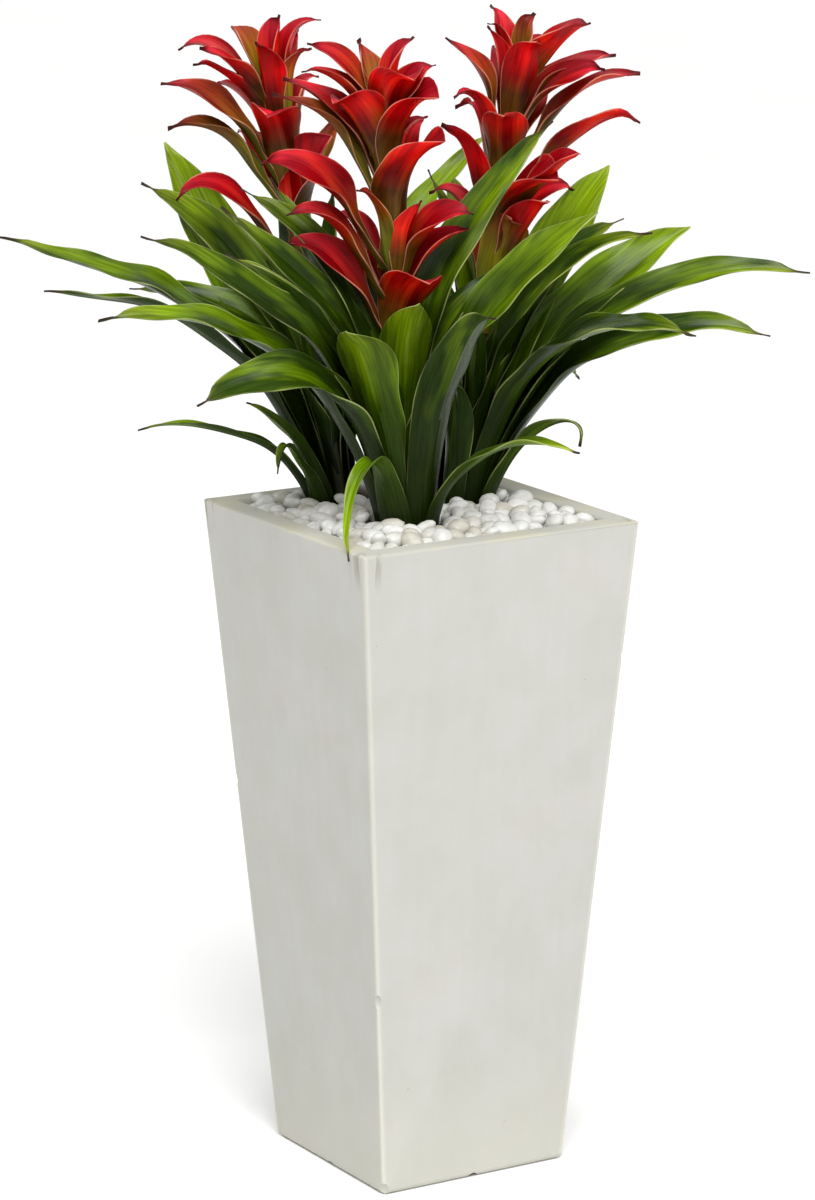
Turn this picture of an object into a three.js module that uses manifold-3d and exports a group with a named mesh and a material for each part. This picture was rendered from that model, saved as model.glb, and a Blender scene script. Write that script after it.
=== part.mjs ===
// Potted bromeliad: three red-bracted plants in a tall tapered square planter topped with white pebbles.
// Millimetres, +Z up. The origin is the middle of the planter's foot.
import * as THREE from 'three';
import * as BufferGeometryUtils from 'three/addons/utils/BufferGeometryUtils.js';
import Module from 'manifold-3d';

const wasm = await Module();
wasm.setup();

// Planter
const PLANTER_HEIGHT = 530;
const PLANTER_TOP = 250;
const PLANTER_FOOT = 168;
const PLANTER_WALL = 21;
const PLANTER_FLOOR = 30;
const PLANTER_CORNER = 5;
const RIM_ROUND = 3;
const FOOT_ROUND = 6;
const NOTCH_WIDTH = 11;
const NOTCH_HEIGHT = 4;
const NOTCH_DEPTH = 26;

// Filling: the growing medium, and the pebbles that cover it
const MEDIUM_TOP = 500;
const PEBBLE_BED_TOP = 516;
const PEBBLE_MOUND = 12;
const MOUND_REACH = 1.15;
const PEBBLE_ROWS = 7;
const PEBBLE_SIZE = 14;
const PEBBLE_SCATTER = 0.35;
const PEBBLE_FORM = [1.1, 0.95, 0.8];
const PEBBLE_TILT = 50;
const PEBBLE_EASE = 0.6;
const SEAT_GAP = 0.3;

// Plants: a plant's own frame starts where it comes out of the pebbles, with Z along its stalk
const PLANT_FOOT = 533;
const ROOTSTOCK_TOP = -21;
const ROOTSTOCK_BOTTOM = -56;
const ROOTSTOCK_RADIUS = 26;
const HOLE_RADIUS = 27;
const HOLE_MOUTH = 33;
const STALK_RADIUS = 5;
const SHEATH_RADIUS = 8.5;
const SHEATH_STEP = 2.1;
const SHEATH_WRAP = 55;
const LEAF_THICKNESS = 1;
const LEAF_CHANNEL = 30;
const LEAF_FOOT_SHARE = 0.68;
const LEAF_SWELL = [0.1, 0.55];
const LEAF_POINT = 0.5;
const LEAF_TIP = 0.7;
const LEAF_ROWS = 8;
const LEAF_STRIPS = 3;
const BRACT_THICKNESS = 0.9;
const BRACT_CUP = 50;
const BRACT_CLAW_SHARE = 0.26;
const BRACT_SWELL = [0.15, 0.65];
const BRACT_POINT = 0.66;
const BRACT_BLUNT = 1.8;
const BRACT_ROOT = 3;
const BRACT_ROWS = 5;
const BRACT_STRIPS = 2;
const HEAD_CORE = 6.5;
const HEAD_TAPER = 60;
const HEAD_EASE = 0.25;

const DEG = Math.PI / 180;
const clamp = (x, low, high) => Math.min(high, Math.max(low, x));
const smooth = (x) => clamp(x, 0, 1) ** 2 * (3 - 2 * clamp(x, 0, 1));
const between = (x, [low, high]) => (x - low) / (high - low);

// A small seeded generator, so the pebbles fall the same way each time
function seeded(seed) {
  let state = seed;
  return () => {
    state = (state * 1664525 + 1013904223) % 4294967296;
    return state / 4294967296;
  };
}

// Closed geometry with shared vertices, as a solid for joins and cuts
function toSolid(geometry) {
  const bare = geometry.clone();
  bare.deleteAttribute('normal');
  bare.deleteAttribute('uv');
  const merged = BufferGeometryUtils.mergeVertices(bare, 1e-4);
  return new wasm.Manifold(new wasm.Mesh({
    numProp: 3,
    vertProperties: new Float32Array(merged.attributes.position.array),
    triVerts: new Uint32Array(merged.index.array),
  }));
}

function toGeometry(solid) {
  const { vertProperties, triVerts } = solid.getMesh();
  const geometry = new THREE.BufferGeometry();
  geometry.setAttribute('position', new THREE.BufferAttribute(new Float32Array(vertProperties), 3));
  geometry.setIndex(new THREE.BufferAttribute(new Uint32Array(triVerts), 1));
  geometry.computeVertexNormals();
  return geometry;
}

// A closed skin over rings of points: rings run along the form, each one counted anticlockwise
// seen from the form's far end. The end rings are closed by fans, or across the band of a thin blade,
// whose two faces are split into triangles alike.
function skin(rings, thin = false) {
  const points = rings.flat();
  const around = rings[0].length;
  const faces = [];
  for (let i = 0; i < rings.length - 1; i += 1) {
    for (let j = 0; j < around; j += 1) {
      const next = (j + 1) % around;
      const a = i * around + j;
      const b = i * around + next;
      if (thin && j >= around / 2) faces.push(a, b, a + around, b, b + around, a + around);
      else faces.push(a, b, b + around, a, b + around, a + around);
    }
  }
  const cap = [];
  for (let j = 1; j < around - 1; j += 1) {
    if (!thin) cap.push([0, j, j + 1]);
    else if (j < around / 2) cap.push([j - 1, j, around - 1 - j], [j - 1, around - 1 - j, around - j]);
  }
  const last = (rings.length - 1) * around;
  for (const [a, b, c] of cap) {
    faces.push(a, c, b);
    faces.push(last + a, last + b, last + c);
  }
  const geometry = new THREE.BufferGeometry();
  geometry.setAttribute('position', new THREE.Float32BufferAttribute(points.flat(), 3));
  geometry.setIndex(faces);
  geometry.computeVertexNormals();
  return geometry;
}

// One square ring with rounded corners, at a height
function squareRing(side, corner, z, steps = 3) {
  const ring = [];
  const half = side / 2 - corner;
  for (let quarter = 0; quarter < 4; quarter += 1) {
    const turn = quarter * 90 * DEG;
    const out = half * Math.SQRT2;
    const centre = [out * Math.cos(turn + 45 * DEG), out * Math.sin(turn + 45 * DEG)];
    for (let k = 0; k <= steps; k += 1) {
      const angle = turn + (k / steps) * 90 * DEG;
      ring.push([centre[0] + corner * Math.cos(angle), centre[1] + corner * Math.sin(angle), z]);
    }
  }
  return ring;
}

const outerSide = (z) => PLANTER_FOOT + (PLANTER_TOP - PLANTER_FOOT) * z / PLANTER_HEIGHT;
const innerSide = (z) => outerSide(z) - 2 * PLANTER_WALL;

// The planter: a tapered block with eased edges, hollowed from above, with a drain notch under each side
function planterGeometry() {
  const rim = outerSide(PLANTER_HEIGHT);
  const body = toSolid(skin([
    squareRing(outerSide(0) - 2 * FOOT_ROUND, PLANTER_CORNER, 0),
    squareRing(outerSide(0) - 0.6 * FOOT_ROUND, PLANTER_CORNER, 0.3 * FOOT_ROUND),
    squareRing(outerSide(FOOT_ROUND), PLANTER_CORNER, FOOT_ROUND),
    squareRing(outerSide(PLANTER_HEIGHT - RIM_ROUND), PLANTER_CORNER, PLANTER_HEIGHT - RIM_ROUND),
    squareRing(rim - 0.6 * RIM_ROUND, PLANTER_CORNER, PLANTER_HEIGHT - 0.3 * RIM_ROUND),
    squareRing(rim - 2 * RIM_ROUND, PLANTER_CORNER, PLANTER_HEIGHT),
  ]));
  const above = PLANTER_HEIGHT + 10;
  let planter = body.subtract(toSolid(skin([
    squareRing(innerSide(PLANTER_FLOOR), PLANTER_CORNER, PLANTER_FLOOR),
    squareRing(innerSide(above), PLANTER_CORNER, above),
  ])));
  for (let side = 0; side < 4; side += 1) {
    const notch = new THREE.BoxGeometry(NOTCH_DEPTH, NOTCH_WIDTH, 2 * NOTCH_HEIGHT);
    notch.translate(outerSide(0) / 2 + 1 - NOTCH_DEPTH / 2 + FOOT_ROUND / 2, 0, 0);
    notch.rotateZ(side * 90 * DEG);
    planter = planter.subtract(toSolid(notch));
  }
  return toGeometry(planter);
}

// Where each plant stands, which way its axis leans and by how much, and how high its stalk runs
// before the flower head
const PLANTS = {
  left: { at: [-28, 76], lean: 9.5, towards: 130, stalk: 165 },
  centre: { at: [-29, -29], lean: 5, towards: 200, stalk: 110 },
  right: { at: [52, 20], lean: 7.5, towards: -8, stalk: 130 },
};

// A plant's own frame: its foot's place, and the turn that leans its axis
function plantFrame({ at, lean, towards }) {
  const frame = new THREE.Group();
  frame.position.set(at[0], at[1], PLANT_FOOT);
  const hinge = new THREE.Vector3(-Math.sin(towards * DEG), Math.cos(towards * DEG), 0);
  frame.quaternion.setFromAxisAngle(hinge, lean * DEG);
  frame.updateMatrix();
  return frame;
}

// A plain hole along each plant's axis, for what it stands in, wider at its mouth
function plantHoles(radius, mouth, low, high) {
  return Object.values(PLANTS).map((plant) => {
    const hole = new THREE.CylinderGeometry(mouth, radius, high - low, 20);
    hole.rotateX(90 * DEG);
    hole.translate(0, 0, (low + high) / 2);
    hole.applyMatrix4(plantFrame(plant).matrix);
    return toSolid(hole);
  });
}

// The growing medium fills the planter's cavity up to the pebbles
function mediumGeometry() {
  const low = PLANTER_FLOOR;
  let medium = toSolid(skin([
    squareRing(innerSide(low) - 2 * SEAT_GAP, PLANTER_CORNER, low),
    squareRing(innerSide(MEDIUM_TOP) - 2 * SEAT_GAP, PLANTER_CORNER, MEDIUM_TOP),
  ]));
  for (const hole of plantHoles(HOLE_RADIUS, HOLE_RADIUS, ROOTSTOCK_BOTTOM - SEAT_GAP, 0)) {
    medium = medium.subtract(hole);
  }
  return toGeometry(medium);
}

// How high the pebbles heap, in the middle and down to the rim
function moundHeight(x, y) {
  const fromMiddle = Math.max(Math.abs(x), Math.abs(y)) / (PLANTER_TOP / 2);
  return PEBBLE_MOUND * smooth(MOUND_REACH - fromMiddle);
}

// The pebbles: rounded stones sunk in one heaped bed, with plain holes round the plants
function pebblesGeometry() {
  const random = seeded(7);
  const side = innerSide(MEDIUM_TOP) - 2 * SEAT_GAP;
  let bed = toSolid(skin([
    squareRing(side, PLANTER_CORNER, MEDIUM_TOP),
    squareRing(side, PLANTER_CORNER, PEBBLE_BED_TOP),
    squareRing(side * 0.5, PLANTER_CORNER, PEBBLE_BED_TOP + 0.6 * PEBBLE_MOUND),
  ]));
  const pitch = (side - PEBBLE_SIZE) / PEBBLE_ROWS;
  for (let row = 0; row < PEBBLE_ROWS; row += 1) {
    for (let column = 0; column < PEBBLE_ROWS; column += 1) {
      const x = (PEBBLE_SIZE - side) / 2 + (column + 0.5 + PEBBLE_SCATTER * (random() - 0.5)) * pitch;
      const y = (PEBBLE_SIZE - side) / 2 + (row + 0.5 + PEBBLE_SCATTER * (random() - 0.5)) * pitch;
      const stone = new THREE.IcosahedronGeometry(PEBBLE_SIZE * (0.95 + 0.3 * random()), 0);
      stone.scale(...PEBBLE_FORM);
      stone.rotateX((random() - 0.5) * PEBBLE_TILT * DEG);
      stone.rotateZ(random() * 360 * DEG);
      stone.translate(x, y, PEBBLE_BED_TOP + 0.8 * moundHeight(x, y) + 2 * random());
      bed = bed.add(toSolid(stone));
    }
  }
  const inside = toSolid(skin([
    squareRing(side, PLANTER_CORNER, MEDIUM_TOP),
    squareRing(side + 6, PLANTER_CORNER, PLANTER_HEIGHT + 40),
  ]));
  bed = bed.intersect(inside);
  const above = PLANTER_HEIGHT - PLANT_FOOT + 30;
  for (const hole of plantHoles(HOLE_RADIUS, HOLE_MOUTH, ROOTSTOCK_BOTTOM, above)) {
    bed = bed.subtract(hole);
  }
  return toGeometry(bed.simplify(PEBBLE_EASE));
}

// A blade's midrib: one cubic curve in the upright plane of its azimuth, from its root to its tip.
// `lean` is the angle off the plant's axis at the root, `pitch` the angle above level at the tip.
function midrib({ rootRadius, rootHeight, reach, rise, lean, pitch, early = 0.45, late = 0.4 }) {
  const length = Math.hypot(reach - rootRadius, rise - rootHeight);
  const from = new THREE.Vector2(rootRadius, rootHeight);
  const to = new THREE.Vector2(reach, rise);
  const leave = new THREE.Vector2(Math.sin(lean * DEG), Math.cos(lean * DEG));
  const arrive = new THREE.Vector2(Math.cos(pitch * DEG), Math.sin(pitch * DEG));
  const first = from.clone().addScaledVector(leave, length * early);
  const second = to.clone().addScaledVector(arrive, -length * late);
  return new THREE.CubicBezierCurve(from, first, second, to);
}

// A closed blade: rows of a curved section along its midrib, hollow side up and inwards.
// `half(s)` is the half width and `bend(s)` the radius of the section's curve at s along the midrib.
function bladeGeometry({ curve, azimuth, half, bend, roll = 0, sway = 0, rows, strips, thickness }) {
  const outward = new THREE.Vector3(Math.cos(azimuth * DEG), Math.sin(azimuth * DEG), 0);
  const sideways = new THREE.Vector3(-Math.sin(azimuth * DEG), Math.cos(azimuth * DEG), 0);
  const middle = (s) => {
    const at = curve.getPointAt(clamp(s, 0, 1));
    return outward.clone().multiplyScalar(at.x).addScaledVector(sideways, sway * s * s).setZ(at.y);
  };
  const rings = [];
  for (let i = 0; i <= rows; i += 1) {
    const s = i / rows;
    const centre = middle(s);
    const along = middle(Math.min(1, s + 0.01)).sub(middle(Math.max(0, s - 0.01))).normalize();
    const across = sideways.clone().addScaledVector(along, -sideways.dot(along)).normalize();
    across.applyAxisAngle(along, roll * smooth(1.5 * s) * DEG);
    const hollow = new THREE.Vector3().crossVectors(along, across);
    const radius = bend(s, centre);
    const spread = Math.min(half(s) / radius, SHEATH_WRAP * DEG);
    const upper = [];
    const lower = [];
    for (let j = 0; j <= strips; j += 1) {
      const angle = spread * (2 * j / strips - 1);
      for (const [face, r] of [[lower, radius], [upper, radius - thickness]]) {
        const point = centre.clone()
          .addScaledVector(across, r * Math.sin(angle))
          .addScaledVector(hollow, radius - r * Math.cos(angle));
        face.push(point.toArray());
      }
    }
    rings.push([...lower, ...upper.reverse()]);
  }
  return skin(rings, true);
}

// How a leaf's half width runs: a clasping sheath, a long strap, and a drawn-out tip
function leafHalf(width, blunt) {
  return (s) => {
    const strap = LEAF_FOOT_SHARE + (1 - LEAF_FOOT_SHARE) * smooth(between(s, LEAF_SWELL));
    const point = s < LEAF_POINT ? 1 : 1 - between(s, [LEAF_POINT, 1]) ** blunt;
    return Math.max(LEAF_TIP, width / 2 * strap * point);
  };
}

// A leaf's section clasps the plant's axis at the foot and opens to a shallow channel
function leafBend(half) {
  return (s, centre) => {
    const fromAxis = Math.hypot(centre.x, centre.y);
    return Math.min(Math.max(fromAxis, SHEATH_RADIUS), Math.max(half(s), 6) / (LEAF_CHANNEL * DEG));
  };
}

function leafGeometry({ ring, azimuth, width, blunt = 2.4, roll = 0, sway = 0, ...path }) {
  const half = leafHalf(width, blunt);
  const rootRadius = SHEATH_RADIUS + SHEATH_STEP * ring;
  return bladeGeometry({
    curve: midrib({ lean: ring, ...path, rootRadius, rootHeight: ROOTSTOCK_TOP + SEAT_GAP }),
    azimuth,
    half,
    bend: leafBend(half),
    roll,
    sway,
    rows: LEAF_ROWS,
    strips: LEAF_STRIPS,
    thickness: LEAF_THICKNESS,
  });
}

// The leaves of each plant, from the innermost sheath out
const LEAVES = {
  left: [
    { ring: 0, azimuth: 125, reach: 130, rise: 265, pitch: 34, width: 38, late: 0.45, roll: -50 },
    { ring: 1, azimuth: 25, reach: 60, rise: 240, pitch: 70, width: 32 },
    { ring: 1, azimuth: 143, reach: 140, rise: 187, pitch: 12, width: 34, early: 0.55, late: 0.5,
      roll: -35 },
    { ring: 2, azimuth: 120, reach: 114, rise: 291, pitch: 66, width: 46, blunt: 3, early: 0.38,
      roll: -45, sway: -18 },
    { ring: 2, azimuth: 5, reach: 210, rise: 260, pitch: 30, width: 34, roll: 30 },
    { ring: 3, azimuth: 60, reach: 130, rise: 270, pitch: 40, width: 36, lean: 6, early: 0.5, late: 0.3 },
    { ring: 3.5, azimuth: 165, reach: 237, rise: 248, pitch: 25, width: 36, lean: 7, late: 0.5,
      roll: -35 },
    { ring: 4.5, azimuth: 85, reach: 190, rise: 220, pitch: 10, width: 36 },
    { ring: 5, azimuth: 172, reach: 215, rise: 203, pitch: 12, width: 30, roll: -25 },
    { ring: 6, azimuth: 205, reach: 103, rise: 93, pitch: 25, width: 18, lean: 8, roll: -10 },
    { ring: 7, azimuth: 165, reach: 153, rise: 79, pitch: 0, width: 18, lean: 6, roll: -20 },
    { ring: 7, azimuth: 70, reach: 150, rise: 110, pitch: -30, width: 32 },
    { ring: 8, azimuth: 200, reach: 70, rise: 30, pitch: -70, width: 14, late: 0.9 },
  ],
  centre: [
    { ring: 0, azimuth: 130, reach: 120, rise: 260, pitch: 29, width: 36, roll: -40 },
    { ring: 0, azimuth: 350, reach: 139, rise: 296, pitch: 38, width: 36, early: 0.5, roll: 40 },
    { ring: 3.5, azimuth: 102, reach: 125, rise: 255, pitch: 50, width: 32, lean: 2, roll: -30, sway: 8 },
    { ring: 1, azimuth: 240, reach: 45, rise: 180, pitch: 60, width: 48, blunt: 6, sway: 8 },
    { ring: 2, azimuth: 144, reach: 130, rise: 250, pitch: 40, width: 34, lean: 4, early: 0.35,
      late: 0.6, roll: -35 },
    { ring: 2, azimuth: 344, reach: 110, rise: 185, pitch: 5, width: 34, roll: 35 },
    { ring: 3, azimuth: 182, reach: 145, rise: 235, pitch: 33, width: 32, early: 0.4, roll: -20 },
    { ring: 3, azimuth: 319, reach: 160, rise: 240, pitch: 35, width: 42, lean: 1, early: 0.4, roll: 10 },
    { ring: 4.8, azimuth: 160, reach: 190, rise: 245, pitch: 31, width: 36, lean: 7, late: 0.5,
      roll: -40 },
    { ring: 3.9, azimuth: 213, reach: 80, rise: 170, pitch: 63, width: 47, blunt: 6 },
    { ring: 5.2, azimuth: 275, reach: 140, rise: 187, pitch: 20, width: 42, blunt: 3.2, lean: 7,
      late: 0.3, roll: -10, sway: -8 },
    { ring: 6.6, azimuth: 168, reach: 235, rise: 190, pitch: 0, width: 34, lean: 7, roll: -30 },
    { ring: 5.7, azimuth: 188, reach: 192, rise: 132, pitch: -10, width: 42, blunt: 3.2, lean: 8,
      late: 0.6, roll: -24 },
    { ring: 7, azimuth: 300, reach: 155, rise: 70, pitch: 0, width: 18, roll: 20 },
    { ring: 8, azimuth: 217, reach: 125, rise: 0, pitch: -84, width: 18, blunt: 1.2, lean: 6,
      early: 1.3, late: 0.6 },
  ],
  right: [
    { ring: 0, azimuth: 309, reach: 128, rise: 230, pitch: 19, width: 36, roll: 40 },
    { ring: 0, azimuth: 110, reach: 70, rise: 250, pitch: 60, width: 30 },
    { ring: 1, azimuth: 349, reach: 110, rise: 230, pitch: 25, width: 30, lean: 2, roll: 40 },
    { ring: 2, azimuth: 8, reach: 110, rise: 270, pitch: 57, width: 46, blunt: 4, roll: 50 },
    { ring: 2, azimuth: 140, reach: 90, rise: 220, pitch: 40, width: 34 },
    { ring: 3, azimuth: 341, reach: 160, rise: 230, pitch: 36, width: 35, blunt: 3.2, roll: 20 },
    { ring: 3, azimuth: 75, reach: 150, rise: 250, pitch: 30, width: 30 },
    { ring: 5, azimuth: 324, reach: 250, rise: 215, pitch: 7, width: 42, roll: 40 },
    { ring: 4, azimuth: 35, reach: 190, rise: 210, pitch: 10, width: 36 },
    { ring: 4, azimuth: 290, reach: 200, rise: 165, pitch: 2, width: 36, late: 0.5, roll: 18 },
    { ring: 5, azimuth: 90, reach: 170, rise: 170, pitch: -5, width: 34 },
    { ring: 6, azimuth: 319, reach: 227, rise: 161, pitch: -6, width: 32, roll: 40 },
    { ring: 7, azimuth: 303, reach: 95, rise: 55, pitch: -100, width: 20, early: 0.85 },
    { ring: 7, azimuth: 219, reach: 65, rise: 95, pitch: 15, width: 26 },
    { ring: 7, azimuth: 20, reach: 140, rise: 90, pitch: -30, width: 30 },
  ],
};

// How a bract's half width runs: a narrow claw, then a broad spoon with a pointed tip
function bractHalf(width) {
  return (s) => {
    const spoon = BRACT_CLAW_SHARE + (1 - BRACT_CLAW_SHARE) * smooth(between(s, BRACT_SWELL));
    const point = s < BRACT_POINT ? 1 : 1 - between(s, [BRACT_POINT, 1]) ** BRACT_BLUNT;
    return Math.max(LEAF_TIP, width / 2 * spoon * point);
  };
}

// The bracts of each flower head, from the lowest up: each starts in the stalk at `from`
const BRACTS = {
  left: [
    { from: 175, azimuth: 60, reach: 75, rise: 245, pitch: -20 },
    { from: 190, azimuth: 240, reach: 45, rise: 260, pitch: 10 },
    { from: 190, azimuth: 159, reach: 86, rise: 255, pitch: -25, lean: 30 },
    { from: 205, azimuth: 10, reach: 60, rise: 296, pitch: 40, width: 26 },
    { from: 215, azimuth: 90, reach: 70, rise: 290, pitch: -10 },
    { from: 215, azimuth: 299, reach: 47, rise: 283, pitch: 45, width: 44 },
    { from: 235, azimuth: 40, reach: 76, rise: 324, pitch: 30, width: 26 },
    { from: 232, azimuth: 149, reach: 87, rise: 310, pitch: 5, width: 30, lean: 24 },
    { from: 249, azimuth: 254, reach: 40, rise: 314, pitch: 20, width: 46 },
    { from: 255, azimuth: 154, reach: 86, rise: 345, pitch: 18, width: 30, lean: 24 },
    { from: 265, azimuth: 110, reach: 60, rise: 335, pitch: 0 },
    { from: 275, azimuth: 359, reach: 41, rise: 328, pitch: -5, width: 26 },
    { from: 285, azimuth: 60, reach: 55, rise: 345, pitch: 0 },
    { from: 280, azimuth: 230, reach: 34, rise: 367, pitch: 50, width: 34 },
    { from: 290, azimuth: 309, reach: 35, rise: 354, pitch: 30, width: 28 },
    { from: 288, azimuth: 169, reach: 60, rise: 359, pitch: 25, width: 28 },
    { from: 300, azimuth: 144, reach: 70, rise: 365, pitch: -30, width: 28, lean: 22 },
    { from: 305, azimuth: 9, reach: 38, rise: 364, pitch: 35, width: 20 },
    { from: 302, azimuth: 190, reach: 66, rise: 362, pitch: 5, width: 26 },
    { from: 308, azimuth: 334, reach: 45, rise: 370, pitch: -15, width: 30 },
    { from: 318, azimuth: 129, reach: 25, rise: 378, pitch: 60, width: 32 },
    { from: 315, azimuth: 320, reach: 16, rise: 379, pitch: 60, width: 36 },
  ],
  centre: [
    { from: 120, azimuth: 60, reach: 70, rise: 190, pitch: -10 },
    { from: 128, azimuth: 250, reach: 42, rise: 201, pitch: 30, width: 46 },
    { from: 145, azimuth: 60, reach: 68, rise: 205, pitch: -15 },
    { from: 146, azimuth: 144, reach: 84, rise: 219, pitch: -15, width: 34, lean: 28 },
    { from: 165, azimuth: 100, reach: 62, rise: 235, pitch: -10 },
    { from: 172, azimuth: 334, reach: 60, rise: 226, pitch: 15, width: 38, lean: 24 },
    { from: 178, azimuth: 159, reach: 80, rise: 247, pitch: -15, width: 34, lean: 30 },
    { from: 188, azimuth: 290, reach: 32, rise: 252, pitch: 40, width: 34 },
    { from: 186, azimuth: 317, reach: 66, rise: 241, pitch: -25, width: 38, lean: 20 },
    { from: 200, azimuth: 55, reach: 75, rise: 275, pitch: -5 },
    { from: 205, azimuth: 205, reach: 42, rise: 270, pitch: 30, width: 26 },
    { from: 206, azimuth: 154, reach: 96, rise: 287, pitch: -20, width: 38, lean: 32 },
    { from: 214, azimuth: 268, reach: 56, rise: 306, pitch: 30, width: 52 },
    { from: 230, azimuth: 30, reach: 62, rise: 300, pitch: -10 },
    { from: 240, azimuth: 85, reach: 60, rise: 315, pitch: 0 },
    { from: 244, azimuth: 139, reach: 85, rise: 335, pitch: 15, width: 26 },
    { from: 255, azimuth: 359, reach: 40, rise: 305, pitch: -20, width: 30 },
    { from: 268, azimuth: 40, reach: 60, rise: 335, pitch: 20, width: 28 },
    { from: 264, azimuth: 128, reach: 83, rise: 342, pitch: 10, width: 30 },
    { from: 268, azimuth: 280, reach: 44, rise: 335, pitch: 10, width: 46 },
    { from: 274, azimuth: 205, reach: 40, rise: 337, pitch: 30, width: 42 },
    { from: 295, azimuth: 75, reach: 40, rise: 360, pitch: 20 },
    { from: 290, azimuth: 250, reach: 35, rise: 354, pitch: 30, width: 42 },
    { from: 292, azimuth: 159, reach: 60, rise: 361, pitch: 10, width: 26 },
    { from: 300, azimuth: 339, reach: 40, rise: 356, pitch: 30, width: 36, lean: 20 },
    { from: 308, azimuth: 144, reach: 55, rise: 371, pitch: 0, width: 28 },
    { from: 312, azimuth: 340, reach: 26, rise: 376, pitch: 50, width: 36 },
    { from: 322, azimuth: 99, reach: 28, rise: 372, pitch: 60, width: 30 },
  ],
  right: [
    { from: 140, azimuth: 60, reach: 70, rise: 210, pitch: -10 },
    { from: 155, azimuth: 262, reach: 36, rise: 226, pitch: 50, width: 42 },
    { from: 165, azimuth: 120, reach: 60, rise: 235, pitch: -15 },
    { from: 172, azimuth: 283, reach: 56, rise: 246, pitch: 50, width: 36 },
    { from: 180, azimuth: 10, reach: 80, rise: 250, pitch: -15 },
    { from: 192, azimuth: 266, reach: 56, rise: 264, pitch: 30, width: 52 },
    { from: 205, azimuth: 60, reach: 80, rise: 280, pitch: -10 },
    { from: 208, azimuth: 175, reach: 56, rise: 286, pitch: 5, width: 36, lean: 24 },
    { from: 214, azimuth: 289, reach: 69, rise: 284, pitch: 40, width: 36, lean: 22 },
    { from: 235, azimuth: 95, reach: 60, rise: 305, pitch: -10 },
    { from: 234, azimuth: 313, reach: 105, rise: 315, pitch: 0, width: 34, lean: 34 },
    { from: 250, azimuth: 35, reach: 70, rise: 320, pitch: -5 },
    { from: 246, azimuth: 242, reach: 38, rise: 309, pitch: 40, width: 40 },
    { from: 256, azimuth: 336, reach: 100, rise: 345, pitch: 5, width: 26, lean: 24 },
    { from: 264, azimuth: 164, reach: 48, rise: 315, pitch: -20, width: 34, lean: 24 },
    { from: 280, azimuth: 75, reach: 50, rise: 350, pitch: 0 },
    { from: 285, azimuth: 256, reach: 38, rise: 367, pitch: 60, width: 42 },
    { from: 283, azimuth: 149, reach: 55, rise: 360, pitch: 30, width: 32 },
    { from: 284, azimuth: 327, reach: 70, rise: 351, pitch: 15, width: 34 },
    { from: 292, azimuth: 350, reach: 85, rise: 357, pitch: 10, width: 32 },
    { from: 305, azimuth: 35, reach: 60, rise: 365, pitch: 10 },
    { from: 306, azimuth: 176, reach: 28, rise: 370, pitch: 40, width: 30 },
    { from: 322, azimuth: 112, reach: 27, rise: 388, pitch: 50, width: 26 },
    { from: 318, azimuth: 299, reach: 63, rise: 383, pitch: 35, width: 52, lean: 20 },
    { from: 318, azimuth: 150, reach: 24, rise: 376, pitch: 30, width: 26 },
    { from: 330, azimuth: 330, reach: 10, rise: 385, pitch: 70, width: 30 },
  ],
};

function bractGeometry({ from, width = 36, lean = 18, ...path }) {
  const half = bractHalf(width);
  return bladeGeometry({
    curve: midrib({ lean, early: 0.5, late: 0.35, ...path, rootRadius: BRACT_ROOT, rootHeight: from }),
    azimuth: path.azimuth,
    half,
    bend: (s) => Math.max(half(s), 5) / (BRACT_CUP * DEG),
    rows: BRACT_ROWS,
    strips: BRACT_STRIPS,
    thickness: BRACT_THICKNESS,
  });
}

// A flower head: the top of the stalk, with its bracts rooted in it
function headGeometry(bracts, stalk) {
  const low = stalk + SEAT_GAP;
  const high = Math.max(...bracts.map(({ from }) => from)) + 10;
  const core = new THREE.LatheGeometry([
    [0, low], [HEAD_CORE, low], [HEAD_CORE, high - HEAD_TAPER], [0.4 * HEAD_CORE, high], [0, high],
  ].map(([r, z]) => new THREE.Vector2(r, z)), 8).rotateX(90 * DEG);
  let head = toSolid(core);
  for (const bract of bracts) head = head.add(toSolid(bractGeometry(bract)));
  return toGeometry(head.simplify(HEAD_EASE));
}

// A plant's stem: the rootstock that the leaves stand on, and the stalk up the middle of them
function stemGeometry(stalk) {
  return new THREE.LatheGeometry([
    [0, ROOTSTOCK_BOTTOM], [0.7 * ROOTSTOCK_RADIUS, ROOTSTOCK_BOTTOM],
    [ROOTSTOCK_RADIUS, ROOTSTOCK_BOTTOM + 0.3 * ROOTSTOCK_RADIUS], [ROOTSTOCK_RADIUS, ROOTSTOCK_TOP],
    [STALK_RADIUS, ROOTSTOCK_TOP], [STALK_RADIUS, stalk], [0, stalk],
  ].map(([r, z]) => new THREE.Vector2(r, z)), 12).rotateX(90 * DEG);
}

const MATERIALS = {
  planter: { color: '#d3d4ca', roughness: 0.9, metalness: 0 },
  growing_medium: { color: '#4a3a2b', roughness: 1, metalness: 0 },
  pebbles: { color: '#e6e4e0', roughness: 0.6, metalness: 0 },
  leaf: { color: '#5a7d1e', roughness: 0.45, metalness: 0 },
  stem: { color: '#8a8a3c', roughness: 0.6, metalness: 0 },
  bract: { color: '#c4101a', roughness: 0.4, metalness: 0 },
};

function piece(name, geometry, finish) {
  const mesh = new THREE.Mesh(geometry, new THREE.MeshStandardMaterial(MATERIALS[finish]));
  mesh.name = name;
  return mesh;
}

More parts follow.
